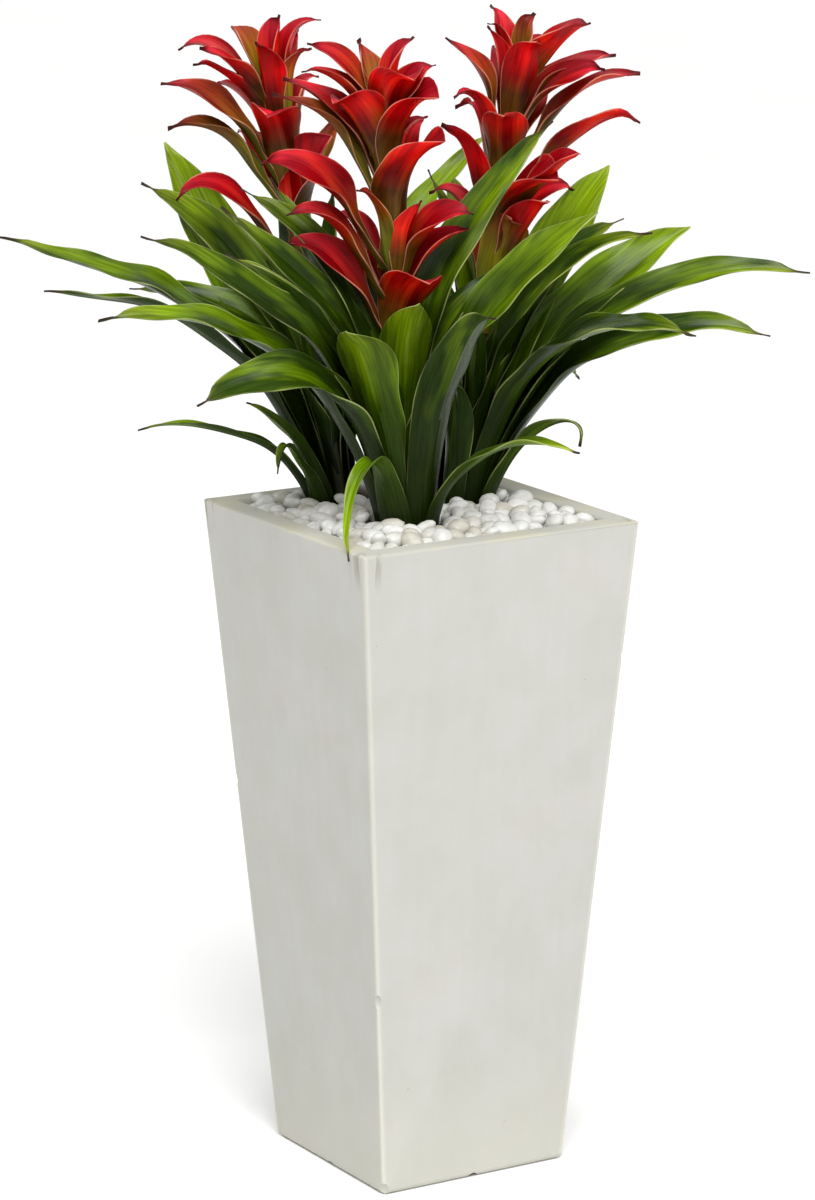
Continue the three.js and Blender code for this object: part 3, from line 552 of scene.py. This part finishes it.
def clay_material():
    """Cast fibre clay with a chalky white wash: a dry matt skin with faint cream and grey green clouds,
    fine grain, stray pinholes, a painted highlight down the upright corners and a cream stained rim."""
    material, tree, shader = new_material("fibre_clay", Roughness=0.85, IOR=1.5)
    place = add(tree, "TexCoord", gives="Object")
    # Clouds of the wash about 90 mm across, and patches about 40 mm across
    clouds = add(tree, "TexNoise", {}, {"Vector": place, "Scale": 11.0, "Detail": 3.0, "Roughness": 0.5})
    colour = add(tree, "ValToRGB", {}, {"Fac": clouds},
                 [(0.3, "#B9B9B3"), (0.5, "#BBBBB6"), (0.7, "#BDBBB6")])
    patches = add(tree, "TexNoise", {}, {"Vector": place, "Scale": 26.0, "Detail": 3.0})
    # Brush marks of the wash run down the sides, about 9 mm apart
    brushed = add(tree, "Mapping", {}, {"Vector": place, "Scale": (1.0, 1.0, 0.07)})
    strokes = add(tree, "TexNoise", {},
                  {"Vector": brushed, "Scale": 110.0, "Detail": 4.0, "Roughness": 0.6})
    for pattern, low in ((patches, "#FBFBF9"), (strokes, "#FDFDFC")):
        tint = add(tree, "ValToRGB", {}, {"Fac": pattern}, [(0.38, low), (0.62, "#FFFFFF")])
        colour = add(tree, "Mix", MULTIPLIED, {"Factor": 1.0, A: colour, B: tint}, gives=MIXED)
    # Heights are in metres here
    across, along, height = [add(tree, "SeparateXYZ", {}, (place,), gives=axis) for axis in "XYZ"]
    foot = add(tree, "MapRange", EASED, (height, 0.0, 0.12, 0.4, 0.0))
    colour = add(tree, "Mix", COLOURS, {"Factor": foot, A: colour, B: linear("#C2C0B2")}, gives=MIXED)
    # How far a point is from the nearest upright corner, round the sides: the width here less both offsets
    reach = add(tree, "Math", {"operation": "MULTIPLY_ADD"},
                (height, (PLANTER_TOP - PLANTER_FOOT) / PLANTER_HEIGHT, PLANTER_FOOT * MM))
    for side in (across, along):
        off = add(tree, "Math", {"operation": "ABSOLUTE"}, (side,))
        reach = add(tree, "Math", {"operation": "SUBTRACT"}, (reach, off))
    # Painted highlight: the wash is drawn lighter in a band a few millimetres wide down each upright
    # corner, where the rounded edge catches the light
    painted_corner_highlight = add(tree, "MapRange", EASED, (reach, 0.001, 0.0045, 0.45, 0.0))
    colour = add(tree, "Mix", COLOURS, {"Factor": painted_corner_highlight, A: colour, B: linear("#D8D5C6")}, gives=MIXED)
    # The rim is stained in patches, and scuffs run a little way down each corner
    rim = eased_product(tree, (height, 0.5262, 0.5294), (patches, 0.4, 0.62, 0.15, 0.85))
    colour = add(tree, "Mix", COLOURS, {"Factor": rim, A: colour, B: linear("#BDB9A4")}, gives=MIXED)
    scuffed = eased_product(tree, (reach, 0.002, 0.03, 1.0, 0.0), (height, 0.495, 0.525),
                            (strokes, 0.5, 0.58, 0.0, 0.8))
    colour = add(tree, "Mix", COLOURS, {"Factor": scuffed, A: colour, B: linear("#8F8875")}, gives=MIXED)
    # Pinholes about 2 mm wide, one in every 33 mm or so
    pinholes = add(tree, "TexVoronoi", {}, {"Vector": place, "Scale": 30.0}, gives="Distance")
    pits = add(tree, "MapRange", EASED, (pinholes, 0.015, 0.04, 1.0, 0.0))
    shadow = add(tree, "Math", PRODUCT, (pits, 0.4))
    colour = add(tree, "Mix", COLOURS, {"Factor": shadow, A: colour, B: linear("#8A8A7C")}, gives=MIXED)
    # Grain about 1.5 mm, drawn as coarse as it needs to show
    grain = add(tree, "TexNoise", {}, {"Vector": place, "Scale": 650.0, "Detail": 3.0})
    hollow = add(tree, "Math", {"operation": "SUBTRACT"}, (grain, pits))
    relief = add(tree, "Bump", {}, {"Strength": 0.22, "Distance": 0.0005, "Height": hollow})
    waves = add(tree, "Bump", {},
                {"Strength": 0.05, "Distance": 0.002, "Height": strokes, "Normal": relief})
    plug(tree, shader, Base_Color=colour, Normal=waves)
    return material


def pebble_material():
    """Tumbled white marble: worn smooth with a faint polish, nearly white, some stones a little warmer
    or greyer than the rest."""
    material, tree, shader = new_material("tumbled_white_marble", Roughness=0.42, IOR=1.5)
    place = add(tree, "TexCoord", gives="Object")
    tone = add(tree, "Attribute", {"attribute_name": "tone"}, gives="Fac")
    stone = add(tree, "ValToRGB", {}, {"Fac": tone},
                [(0.0, "#DEDEDB"), (0.55, "#D8D8D4"), (0.85, "#CECCC4"), (1.0, "#BDB7A9")])
    # Veins and clouds about 8 mm across
    clouds = add(tree, "TexNoise", {}, {"Vector": place, "Scale": 125.0, "Detail": 3.0})
    veil = add(tree, "ValToRGB", {}, {"Fac": clouds}, [(0.35, "#E8E7E2"), (0.6, "#FFFFFF")])
    colour = add(tree, "Mix", MULTIPLIED, {"Factor": 0.8, A: stone, B: veil}, gives=MIXED)
    grain = add(tree, "TexNoise", {}, {"Vector": place, "Scale": 420.0, "Detail": 2.0})
    relief = add(tree, "Bump", {}, {"Strength": 0.2, "Distance": 0.0005, "Height": grain})
    plug(tree, shader, Base_Color=colour, Normal=relief)
    return material


def medium_material():
    """Bark and peat growing medium: dark loose crumb of 3 to 6 mm with lighter chips."""
    material, tree, shader = new_material("bark_and_peat", Roughness=0.95, IOR=1.4)
    place = add(tree, "TexCoord", gives="Object")
    crumb = add(tree, "TexVoronoi", {}, {"Vector": place, "Scale": 220.0}, gives="Distance")
    colour = add(tree, "ValToRGB", {}, {"Fac": crumb},
                 [(0.1, "#4A3422"), (0.4, "#33241A"), (0.8, "#1E1610")])
    relief = add(tree, "Bump", {}, {"Strength": 0.8, "Distance": 0.002, "Height": crumb})
    plug(tree, shader, Base_Color=colour, Normal=relief)
    return material


def floor_material():
    """Studio sweep: seamless matt paper, white with the faintest mottle."""
    material, tree, shader = new_material("studio_paper", Roughness=0.95, IOR=1.3)
    place = add(tree, "TexCoord", gives="Object")
    mottle = add(tree, "TexNoise", {}, {"Vector": place, "Scale": 3.0})
    colour = add(tree, "ValToRGB", {}, {"Fac": mottle}, [(0.3, "#F7F7F6"), (0.7, "#FBFBFA")])
    plug(tree, shader, Base_Color=colour)
    return material


# Blades

def midrib(root, tip, lean, pitch, early, late):
    """A blade's midrib in its own upright plane: a cubic curve from root to tip, by share of its length."""
    length = math.hypot(tip[0] - root[0], tip[1] - root[1])
    lean, pitch = math.radians(lean), math.radians(pitch)
    first = (root[0] + length * early * math.sin(lean), root[1] + length * early * math.cos(lean))
    second = (tip[0] - length * late * math.cos(pitch), tip[1] - length * late * math.sin(pitch))
    points = []
    for i in range(MIDRIB_STEPS + 1):
        t = i / MIDRIB_STEPS
        weights = ((1 - t) ** 3, 3 * t * (1 - t) ** 2, 3 * t * t * (1 - t), t ** 3)
        corners = (root, first, second, tip)
        points.append([sum(w * c[k] for w, c in zip(weights, corners)) for k in (0, 1)])
    runs = [0.0]
    for a, b in zip(points, points[1:]):
        runs.append(runs[-1] + math.hypot(b[0] - a[0], b[1] - a[1]))

    def at(s):
        goal = clamp(s) * runs[-1]
        low = min(bisect_right(runs, goal), MIDRIB_STEPS) - 1
        share = between(goal, runs[low], runs[low + 1])
        return [points[low][k] + share * (points[low + 1][k] - points[low][k]) for k in (0, 1)]

    return at, runs[-1]


def habit(draw, dry, skew, ruffle, wave, twist, curl):
    """How one blade strays from its plain form, in millimetres and degrees, with its own phases. A tip
    whose `dry` is 1 is brown, and a lower one stays alive; `skew` draws one side of the tip ahead."""
    return dict(dry=dry, skew=skew, ruffle=draw.uniform(*ruffle), wave=draw.uniform(*wave),
                twist=draw.uniform(*twist), curl=draw.uniform(*curl), hook=draw.uniform(-0.6, 0.6),
                lopsided=draw.uniform(-0.2, 0.2),
                phases=[draw.uniform(0, 2 * math.pi) for _ in range(5)])


def blade(name, path, azimuth, half, bend, roll, turn, sway, rows, columns, thickness, stray, tone):
    """One blade in its plant's own frame, in millimetres: a grid laid along its midrib and thickened.
    `half(s)` is the half width and `bend(s, centre)` the radius of the section's curve; `roll` is
    taken up between the two shares of the length in `turn`."""
    curve, length = path
    azimuth = math.radians(azimuth)
    outward = Vector((math.cos(azimuth), math.sin(azimuth), 0))
    sideways = Vector((-math.sin(azimuth), math.cos(azimuth), 0))
    left, right, rise, drift, breadth = stray["phases"]

    def middle(s):
        r, z = curve(s)
        return outward * r + sideways * (sway * s ** 3) + Vector((0, 0, z))

    stations = []
    for row in range(rows + 1):
        s = row / rows
        centre = middle(s)
        along = (middle(min(1, s + 0.01)) - middle(max(0, s - 0.01))).normalized()
        across = (sideways - along * sideways.dot(along)).normalized()
        rolled = roll * smooth(between(s, *turn)) + stray["twist"] * onset(s, *TWISTED)
        across = Matrix.Rotation(math.radians(rolled), 3, along) @ across
        hollow = along.cross(across)
        free = onset(s, *FREE)
        tip = onset(s, *TIPPED) ** 2
        lifted = free * stray["wave"] * math.sin(s * length / RISE_WAVE + rise)
        drifted = free * DRIFT_SHARE * stray["wave"] * math.sin(s * length / DRIFT_WAVE + drift)
        centre = centre + hollow * (lifted - stray["curl"] * tip)
        centre = centre + across * (drifted + stray["curl"] * stray["hook"] * tip)
        width = half(s) * (1 + BREADTH_SHARE * free * math.sin(s * length / BREADTH_WAVE + breadth))
        ahead = along * (stray["skew"] * width * onset(s, *SKEWED))
        stations.append((centre, across, hollow, width, bend(s, centre), ahead))

    bpy.ops.mesh.primitive_grid_add(x_subdivisions=columns, y_subdivisions=rows, size=2)
    piece = bpy.context.object
    piece.name = piece.data.name = name
    piece.data.uv_layers[0].name = "blade"
    bpy.ops.object.mode_set(mode="EDIT")
    mesh = bmesh.from_edit_mesh(piece.data)
    run_layer = mesh.verts.layers.float.new("run")
    edge_layer = mesh.verts.layers.float.new("edge")
    tone_layer = mesh.verts.layers.float.new("tone")
    chart = mesh.loops.layers.uv.active
    for face in mesh.faces:
        for loop in face.loops:
            x, s = loop.vert.co.x, (loop.vert.co.y + 1) / 2
            loop[chart].uv = (x * max(stations[round(s * rows)][3], CHART_HALF) * MM, s * length * MM)
    for vertex in mesh.verts:
        x, s = vertex.co.x, (vertex.co.y + 1) / 2
        centre, across, hollow, width, radius, ahead = stations[round(s * rows)]
        spread = min(width / radius, math.radians(SHEATH_WRAP))
        angle = spread * (x + stray["lopsided"] * (1 - x * x))
        r = radius - thickness / 2
        ripple = stray["ruffle"] * onset(s, *RUFFLED) * abs(x) ** 3
        ripple *= math.sin(s * length / RUFFLE_WAVE + (left if x < 0 else right))
        ripple -= MIDRIB_GROOVE * smooth(1 - MIDRIB_SHARE * abs(x)) * smooth(width / MIDRIB_HALF)
        ripple += MIDRIB_FOLD * width * abs(x) * onset(s, *RUFFLED)
        vertex[run_layer] = s * stray["dry"]
        vertex[edge_layer] = (1 - abs(x)) * spread * radius
        vertex[tone_layer] = tone
        vertex.co = centre + ahead * x + across * (r * math.sin(angle))
        vertex.co += hollow * (radius - r * math.cos(angle) + ripple)
    bmesh.update_edit_mesh(piece.data)
    bpy.ops.object.mode_set(mode="OBJECT")
    count = len(piece.data.vertices)
    shell = piece.modifiers.new("body", "SOLIDIFY")
    shell.thickness = thickness
    shell.offset = 0
    bpy.ops.object.modifier_apply(modifier=shell.name)
    under = piece.data.attributes.new("under", "FLOAT", "POINT")
    under.data.foreach_set("value", [1.0 if i < count else 0.0 for i in range(len(piece.data.vertices))])
    return piece


def select(pieces):
    """Selects these pieces alone, with the first of them active."""
    bpy.ops.object.select_all(action="DESELECT")
    for piece in pieces:
        piece.select_set(True)
    bpy.context.view_layer.objects.active = pieces[0]


def join(pieces):
    select(pieces)
    bpy.ops.object.join()
    return pieces[0]


def finish_piece(piece, name, material, slot, *replaced):
    """Names a finished piece, smooths it by angle, gives it its finish and hangs it under the root body.
    `slot` is not used.
    """
    piece.name = piece.data.name = name
    select([piece])
    bpy.ops.object.shade_smooth_by_angle(angle=math.radians(50))
    piece.data.materials.clear()
    piece.data.materials.append(material)
    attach(piece, "root")
    if replaced:
        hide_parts(*replaced)


def leaf(row, draw):
    """One strap leaf: a clasping sheath, a long channelled strap and a short drawn-out tip."""
    blunt = row.get("blunt", LEAF_BLUNT)
    foot = row.get("foot", LEAF_FOOT_SHARE)
    swell = row.get("swell", LEAF_SWELL)
    root = (SHEATH_RADIUS + SHEATH_STEP * row["ring"], ROOTSTOCK_TOP + SEAT_GAP)
    path = midrib(root, (row["reach"], row["rise"]), row.get("lean", row["ring"]), row["pitch"],
                  row.get("early", 0.45), row.get("late", 0.4))
    pointed = 0.0 if blunt > ROUND_END else 1.0

    def half(s):
        breadth = foot + (1 - foot) * smooth(between(s, *swell))
        point = 1 if s < LEAF_POINT else 1 - between(s, LEAF_POINT, 1) ** blunt
        drawn = pointed * smooth(between(s, *LEAF_THREAD))
        return max(THREAD_HALF, row["width"] / 2 * breadth * point * (1 - drawn))

    def bend(s, centre):
        from_axis = math.hypot(centre.x, centre.y)
        channel = max(half(s), LEAF_LEAST) / math.radians(LEAF_CHANNEL)
        opened = 1 + LEAF_OPENING * smooth(between(s, *LEAF_OPENS))
        return min(max(from_axis, SHEATH_RADIUS), channel * opened)

    stray = habit(draw, dry=1 if pointed else 0.92, skew=0, ruffle=(0.8, 2.2), wave=(0.5, 1.8),
                  twist=(-12, 12), curl=(0, 5))
    return blade("leaf", path, row["azimuth"], half, bend, row.get("roll", 0), row.get("turn", LEAF_TURN),
                 row.get("sway", 0), LEAF_ROWS, LEAF_COLUMNS, LEAF_THICKNESS, stray, row["tone"])


def bract(row, draw):
    """One bract: a broad claw wrapped on the stalk, a cupped spoon and a short dark tip. One that points
    to a side of the view is turned so that its upper face shows."""
    blunt = row.get("blunt", BRACT_BLUNT)
    cupped = blunt >= ROUND_END
    width = row.get("width", BRACT_WIDTH) * (1 if cupped else BRACT_SLIM)
    root = (BRACT_ROOT, row["root"] - BRACT_DROP)
    path = midrib(root, (row["reach"], row["rise"]), row.get("lean", BRACT_LEAN), row["pitch"], 0.5, 0.35)
    roll = row.get("roll", -BRACT_ROLL * math.cos(math.radians(row["azimuth"] - LEFT_IN_VIEW)))

    def half(s):
        breadth = BRACT_CLAW_SHARE + (1 - BRACT_CLAW_SHARE) * smooth(between(s, *BRACT_SWELL))
        point = 1 if s < BRACT_POINT else 1 - between(s, BRACT_POINT, 1) ** blunt
        drawn = 0 if cupped else smooth(between(s, *BRACT_THREAD))
        return max(THREAD_HALF, width / 2 * breadth * point * (1 - drawn))

    def bend(s, centre):
        opened = 1 + BRACT_OPENING * smooth(between(s, *BRACT_OPENS))
        return max(half(s), BRACT_LEAST) / math.radians(BRACT_CUP) * opened

    sway = row.get("sway", draw.uniform(-5, 5))
    stray = habit(draw, dry=0.86 if cupped else 1, skew=clamp(sway / SKEW_SWAY, -SKEW_MOST, SKEW_MOST),
                  ruffle=(1.0, 3.2), wave=(0.6, 2.2), twist=(-34, 34), curl=(1, 6) if cupped else (-4, 9))
    tone = row.get("tone", draw.uniform(0.0, 0.12))
    return blade("bract", path, row["azimuth"], half, bend, roll, LEAF_TURN, sway, BRACT_ROWS,
                 BRACT_COLUMNS, BRACT_THICKNESS, stray, tone)


def stalk_leaf(height, azimuth, length, draw):
    """One small leaf clasping the flower stalk below the head."""
    reach = STALK_RADIUS + STALK_LEAF_SPREAD * length
    path = midrib((STALK_RADIUS - 1, height), (reach, height + length), lean=4, pitch=72, early=0.5,
                  late=0.3)

    def half(s):
        point = 1 if s < STALK_LEAF_POINT else 1 - between(s, STALK_LEAF_POINT, 1) ** 1.6
        breadth = 0.75 + 0.25 * smooth(between(s, 0, STALK_LEAF_POINT))
        return max(THREAD_HALF, STALK_LEAF_WIDTH / 2 * breadth * point)

    def bend(s, centre):
        return max(STALK_RADIUS + 1, 0.9 * math.hypot(centre.x, centre.y))

    stray = habit(draw, dry=1, skew=0, ruffle=(0.3, 1.0), wave=(0.2, 0.6), twist=(-8, 8), curl=(0, 3))
    return blade("stalk_leaf", path, azimuth, half, bend, 0, LEAF_TURN, 0, BRACT_ROWS, BRACT_COLUMNS,
                 BRACT_THICKNESS, stray, draw.uniform(0.0, 0.2))


def tapered_rod(radii, sides=24):
    """A round rod through rings of (radius, height): a cylinder cut into rings, each drawn to its size."""
    bpy.ops.mesh.primitive_circle_add(vertices=sides, radius=radii[0][0], fill_type="NGON",
                                      location=(0, 0, radii[0][1]))
    rod = bpy.context.object
    bpy.ops.object.transform_apply()
    bpy.ops.object.mode_set(mode="EDIT")
    bpy.ops.mesh.select_all(action="SELECT")
    for (radius, height), (next_radius, next_height) in zip(radii, radii[1:]):
        bpy.ops.mesh.extrude_region_move(TRANSFORM_OT_translate={"value": (0, 0, next_height - height)})
        mesh = bmesh.from_edit_mesh(rod.data)
        for vertex in mesh.verts:
            if vertex.select:
                vertex.co.x *= next_radius / radius
                vertex.co.y *= next_radius / radius
        bmesh.update_edit_mesh(rod.data)
    bpy.ops.mesh.select_all(action="SELECT")
    bpy.ops.mesh.normals_make_consistent(inside=False)
    bpy.ops.object.mode_set(mode="OBJECT")
    return rod


def set_attributes(piece, **values):
    """Gives every point of a plain piece the attributes that a blade's material reads."""
    for name, value in values.items():
        attribute = piece.data.attributes.new(name, "FLOAT", "POINT")
        attribute.data.foreach_set("value", [value] * len(piece.data.vertices))


# Planter and filling

def pick(piece, kind, wanted):
    """Selects the wanted faces or edges of a piece that is being edited, and nothing else."""
    bpy.ops.mesh.select_mode(type=kind)
    bpy.ops.mesh.select_all(action="DESELECT")
    mesh = bmesh.from_edit_mesh(piece.data)
    mesh.normal_update()
    for element in mesh.faces if kind == "FACE" else mesh.edges:
        element.select = wanted(element)
    bmesh.update_edit_mesh(piece.data)


def planter():
    """The planter: a block drawn in to its foot, hollowed from above, with eased edges, a drain notch
    under each side and a few small chips on the edges."""
    bpy.ops.mesh.primitive_cube_add(size=1, location=(0, 0, PLANTER_HEIGHT / 2))
    block = bpy.context.object
    block.scale = (PLANTER_TOP, PLANTER_TOP, PLANTER_HEIGHT)
    bpy.ops.object.transform_apply()
    bpy.ops.object.mode_set(mode="EDIT")
    pick(block, "FACE", lambda face: face.normal.z < -LEVEL)
    foot = PLANTER_FOOT / PLANTER_TOP
    bpy.ops.transform.resize(value=(foot, foot, 1), center_override=(0, 0, 0))
    pick(block, "FACE", lambda face: face.normal.z > LEVEL)
    bpy.ops.mesh.inset(thickness=PLANTER_WALL)
    depth = PLANTER_HEIGHT - PLANTER_FLOOR
    bpy.ops.mesh.extrude_region_move(TRANSFORM_OT_translate={"value": (0, 0, -depth)})
    well = inner_side(PLANTER_FLOOR) / inner_side(PLANTER_HEIGHT)
    bpy.ops.transform.resize(value=(well, well, 1), center_override=(0, 0, PLANTER_FLOOR))
    tall = PLANTER_HEIGHT / 2
    for low, high, least, offset in ((-1, 1, 0, FOOT_ROUND),
                                     (PLANTER_HEIGHT - 1, PLANTER_HEIGHT + 1, 0, RIM_ROUND),
                                     (-1, PLANTER_HEIGHT + 1, tall, PLANTER_CORNER)):
        pick(block, "EDGE", lambda edge: all(low < v.co.z < high for v in edge.verts)
             and abs(edge.verts[0].co.z - edge.verts[1].co.z) >= least
             and abs(edge.calc_face_angle(0)) > SHARP)
        bpy.ops.mesh.bevel(offset=offset, segments=4)
    bpy.ops.object.mode_set(mode="OBJECT")
    cutters = []
    for side in range(4):
        bpy.ops.mesh.primitive_cylinder_add(vertices=12, radius=NOTCH_WIDTH / 2, depth=NOTCH_DEPTH * 2,
                                            rotation=(0, math.radians(90), 0),
                                            location=(PLANTER_FOOT / 2, 0, NOTCH_HEIGHT - NOTCH_WIDTH / 2))
        notch = bpy.context.object
        bpy.ops.object.transform_apply()
        notch.data.transform(Matrix.Rotation(math.radians(90 * side), 4, "Z"))
        cutters.append(notch)
    for x_sign, y_sign, height, size in EDGE_CHIPS:
        reach = outer_side(height) / 2 + CHIP_OUTSET * size
        bpy.ops.mesh.primitive_ico_sphere_add(subdivisions=2, radius=size,
                                              location=(x_sign * reach, y_sign * reach, height))
        bpy.context.object.scale = (1, 1, CHIP_STRETCH)
        bpy.ops.object.transform_apply()
        cutters.append(bpy.context.object)
    cutter = join(cutters)
    cut = block.modifiers.new("notches", "BOOLEAN")
    cut.operation = "DIFFERENCE"
    cut.object = cutter
    cut.solver = "EXACT"
    cut.use_self = True
    bpy.context.view_layer.objects.active = block
    bpy.ops.object.modifier_apply(modifier=cut.name)
    bpy.data.objects.remove(cutter)
    block.data.transform(Matrix.Scale(MM, 4))
    return block


def mound_height(x, y):
    from_middle = max(abs(x), abs(y)) / (PLANTER_TOP / 2)
    return PEBBLE_MOUND * smooth(MOUND_REACH - from_middle)


def pebbles():
    """The pebbles: a few stones shaped once, then laid in three crossing courses over the medium."""
    draw = random.Random(PEBBLE_SEED)
    stones = []
    for _ in range(PEBBLE_KINDS):
        bpy.ops.mesh.primitive_uv_sphere_add(segments=10, ring_count=6, radius=1)
        stone = bpy.context.object
        lumps = [(Vector([draw.uniform(-1, 1) for _ in range(3)]).normalized(), draw.uniform(-0.2, 0.16))
                 for _ in range(PEBBLE_LUMPS)]
        for vertex in stone.data.vertices:
            push = sum(size * max(0, vertex.co.normalized().dot(way)) ** 2 for way, size in lumps)
            vertex.co = vertex.co * (1 + push)
        stones.append(stone)
    axes = [(plant_frame(plant) @ Vector((0, 0, PEBBLE_LEVEL))).to_2d() for plant in PLANTS.values()]
    limit = inner_side(PEBBLE_BED_TOP) / 2
    mesh = bmesh.new()
    tone_layer = mesh.verts.layers.float.new("tone")
    for course, (lift, keep) in enumerate(PEBBLE_COURSES):
        rows = int(2 * limit / (PEBBLE_SPACING * ROW_PITCH)) + 1
        for row in range(rows):
            for column in range(rows):
                x = -limit + (column + 0.5 * (row % 2) + COURSE_SHIFT[0] * course) * PEBBLE_SPACING
                y = -limit + (row + COURSE_SHIFT[1] * course) * PEBBLE_SPACING * ROW_PITCH
                x += draw.uniform(-PEBBLE_STRAY[0], PEBBLE_STRAY[0])
                y += draw.uniform(-PEBBLE_STRAY[1], PEBBLE_STRAY[1])
                scale = draw.uniform(*PEBBLE_SCALES)
                turn = draw.uniform(0, 360)
                tip = draw.uniform(-PEBBLE_TIP, PEBBLE_TIP)
                roll = draw.uniform(-PEBBLE_ROLL, PEBBLE_ROLL)
                tone, kind, kept = draw.random(), draw.randrange(PEBBLE_KINDS), draw.random()
                raised = draw.uniform(-PEBBLE_STRAY[2], PEBBLE_STRAY[2])
                wall = limit - WALL_SHARE * PEBBLE_SIZE[0] * scale
                if kept > keep or max(x, y) > limit:
                    continue
                x, y = clamp(x, -wall, wall), clamp(y, -wall, wall)
                if any((Vector((x, y)) - axis).length < PLANT_CLEARANCE for axis in axes):
                    continue
                height = PEBBLE_BED_TOP + MOUND_SHARE * mound_height(x, y) + lift + raised
                place = (Matrix.Translation((x, y, height)) @ Matrix.Rotation(math.radians(turn), 4, "Z")
                         @ Matrix.Rotation(math.radians(tip), 4, "Y")
                         @ Matrix.Rotation(math.radians(roll), 4, "X")
                         @ Matrix.Diagonal([scale * size for size in PEBBLE_SIZE] + [1]))
                before = len(mesh.verts)
                mesh.from_mesh(stones[kind].data)
                mesh.verts.ensure_lookup_table()
                for vertex in mesh.verts[before:]:
                    vertex.co = place @ vertex.co * MM
                    vertex[tone_layer] = tone
    bed = bpy.data.objects.new("pebbles", bpy.data.meshes.new("pebbles"))
    mesh.to_mesh(bed.data)
    mesh.free()
    bpy.context.scene.collection.objects.link(bed)
    for stone in stones:
        bpy.data.objects.remove(stone)
    return bed


# The object

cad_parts["growing_medium"].data.materials.clear()
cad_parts["growing_medium"].data.materials.append(medium_material())

finish_piece(planter(), "cast_planter", clay_material(), "planter", "planter")
finish_piece(pebbles(), "pebble_bed", pebble_material(), "pebbles", "pebbles")

leaf_skin = leaf_material()
bract_skin = bract_material()
stalk_skin = stalk_material()
for order, (side, plant) in enumerate(PLANTS.items()):
    place = Matrix.Scale(MM, 4) @ plant_frame(plant)
    draw = random.Random(PLANT_SEED + order)
    stem = tapered_rod([
        (ROOTSTOCK_FOOT[0] * ROOTSTOCK_RADIUS, ROOTSTOCK_BOTTOM),
        (ROOTSTOCK_RADIUS, ROOTSTOCK_BOTTOM + ROOTSTOCK_FOOT[1] * ROOTSTOCK_RADIUS),
        (ROOTSTOCK_RADIUS, ROOTSTOCK_TOP - 0.5), (STALK_RADIUS + STALK_FLARE[0], ROOTSTOCK_TOP),
        (STALK_RADIUS, ROOTSTOCK_TOP + STALK_FLARE[1]), (STALK_RADIUS * STALK_TAPER, plant["stalk"])])
    stem.data.transform(place)
    finish_piece(stem, f"{side}_stalk", stalk_skin, "stem", f"{side}_stem")
    sleeve = join([stalk_leaf((plant["stalk"] - STALK_BARE) * i / STALK_LEAVES,
                              STALK_LEAF_START + STALK_LEAF_TURN * i,
                              draw.uniform(*STALK_LEAF_LENGTH), draw) for i in range(STALK_LEAVES)])
    sleeve.data.transform(place)
    finish_piece(sleeve, f"{side}_stalk_leaves", leaf_skin, "leaf")
    for number, row in enumerate(LEAVES[side], 1):
        piece = leaf(row, draw)
        piece.data.transform(place)
        node = f"{side}_leaf_{number:02d}"
        finish_piece(piece, f"{node}_blade", leaf_skin, "leaf", node)
    top = max(row["root"] for row in BRACTS[side]) + HEAD_PEAK
    core = tapered_rod([(HEAD_CORE, plant["stalk"] + SEAT_GAP), (HEAD_CORE, top - HEAD_TAPER),
                        (HEAD_TIP * HEAD_CORE, top)])
    set_attributes(core, run=0.3, edge=5.0, under=1.0, tone=0.4)
    head = join([core] + [bract(row, draw) for row in BRACTS[side]])
    head.data.transform(place)
    finish_piece(head, f"{side}_flower_head", bract_skin, "bract", f"{side}_bract_head")

# Studio

bpy.ops.mesh.primitive_plane_add(size=60)
studio_floor = bpy.context.object
studio_floor.name = "studio_floor"
studio_floor.data.materials.append(floor_material())

# An even white surround, weak enough to leave the key light's shading
world = bpy.data.worlds.new("studio")
bpy.context.scene.world = world
world.use_nodes = True
backdrop = world.node_tree.nodes["Background"]
backdrop.inputs["Color"].default_value = (1, 1, 1, 1)
backdrop.inputs["Strength"].default_value = 0.36

azimuth = math.radians(CAMERA_AZIMUTH)
elevation = math.radians(CAMERA_ELEVATION)
level = Vector((math.sin(azimuth), -math.cos(azimuth), 0))
back = level * math.cos(elevation) + Vector((0, 0, math.sin(elevation)))
right = Vector((math.cos(azimuth), math.sin(azimuth), 0))
up = back.cross(right)
aim = Vector((0, 0, CAMERA_AIM[2])) + right * CAMERA_AIM[0] + up * CAMERA_AIM[1]


def stand(name, data, place, back_along):
    """Stands a light or the camera at its place, with its back turned along a direction."""
    holder = bpy.data.objects.new(name, data)
    holder.location = place
    holder.rotation_mode = "QUATERNION"
    holder.rotation_quaternion = back_along.to_track_quat("Z", "Y")
    bpy.context.scene.collection.objects.link(holder)
    return holder


def softbox(name, side, rise, forward, size, power):
    """A square soft light, placed from the object's middle by how far it is to the side, up and forward."""
    place = aim + right * side + Vector((0, 0, rise)) + level * forward
    light = bpy.data.lights.new(name, "AREA")
    light.size = size
    light.energy = power
    stand(name, light, place, place - aim)


def daylight(name, turn, height, spread, power):
    """A broad even light from far off, turned from the camera's side and raised, both in degrees."""
    heading = Matrix.Rotation(math.radians(turn), 3, "Z") @ level
    way = heading * math.cos(math.radians(height)) + Vector((0, 0, math.sin(math.radians(height))))
    light = bpy.data.lights.new(name, "SUN")
    light.angle = math.radians(spread)
    light.energy = power
    stand(name, light, (0, 0, 0), way)


daylight("key", 6, 50, 40, 3.0)
softbox("left_sheen", -1.6, 1.5, -0.6, 1.0, 14)
softbox("right_sheen", 1.5, 1.6, 0.2, 1.0, 12)

camera_data = bpy.data.cameras.new("camera")
camera_data.lens = CAMERA_LENS
camera_data.clip_end = 100
bpy.context.scene.camera = stand("camera", camera_data, aim + back * CAMERA_DISTANCE, back)
bpy.context.scene.view_settings.view_transform = "Standard"
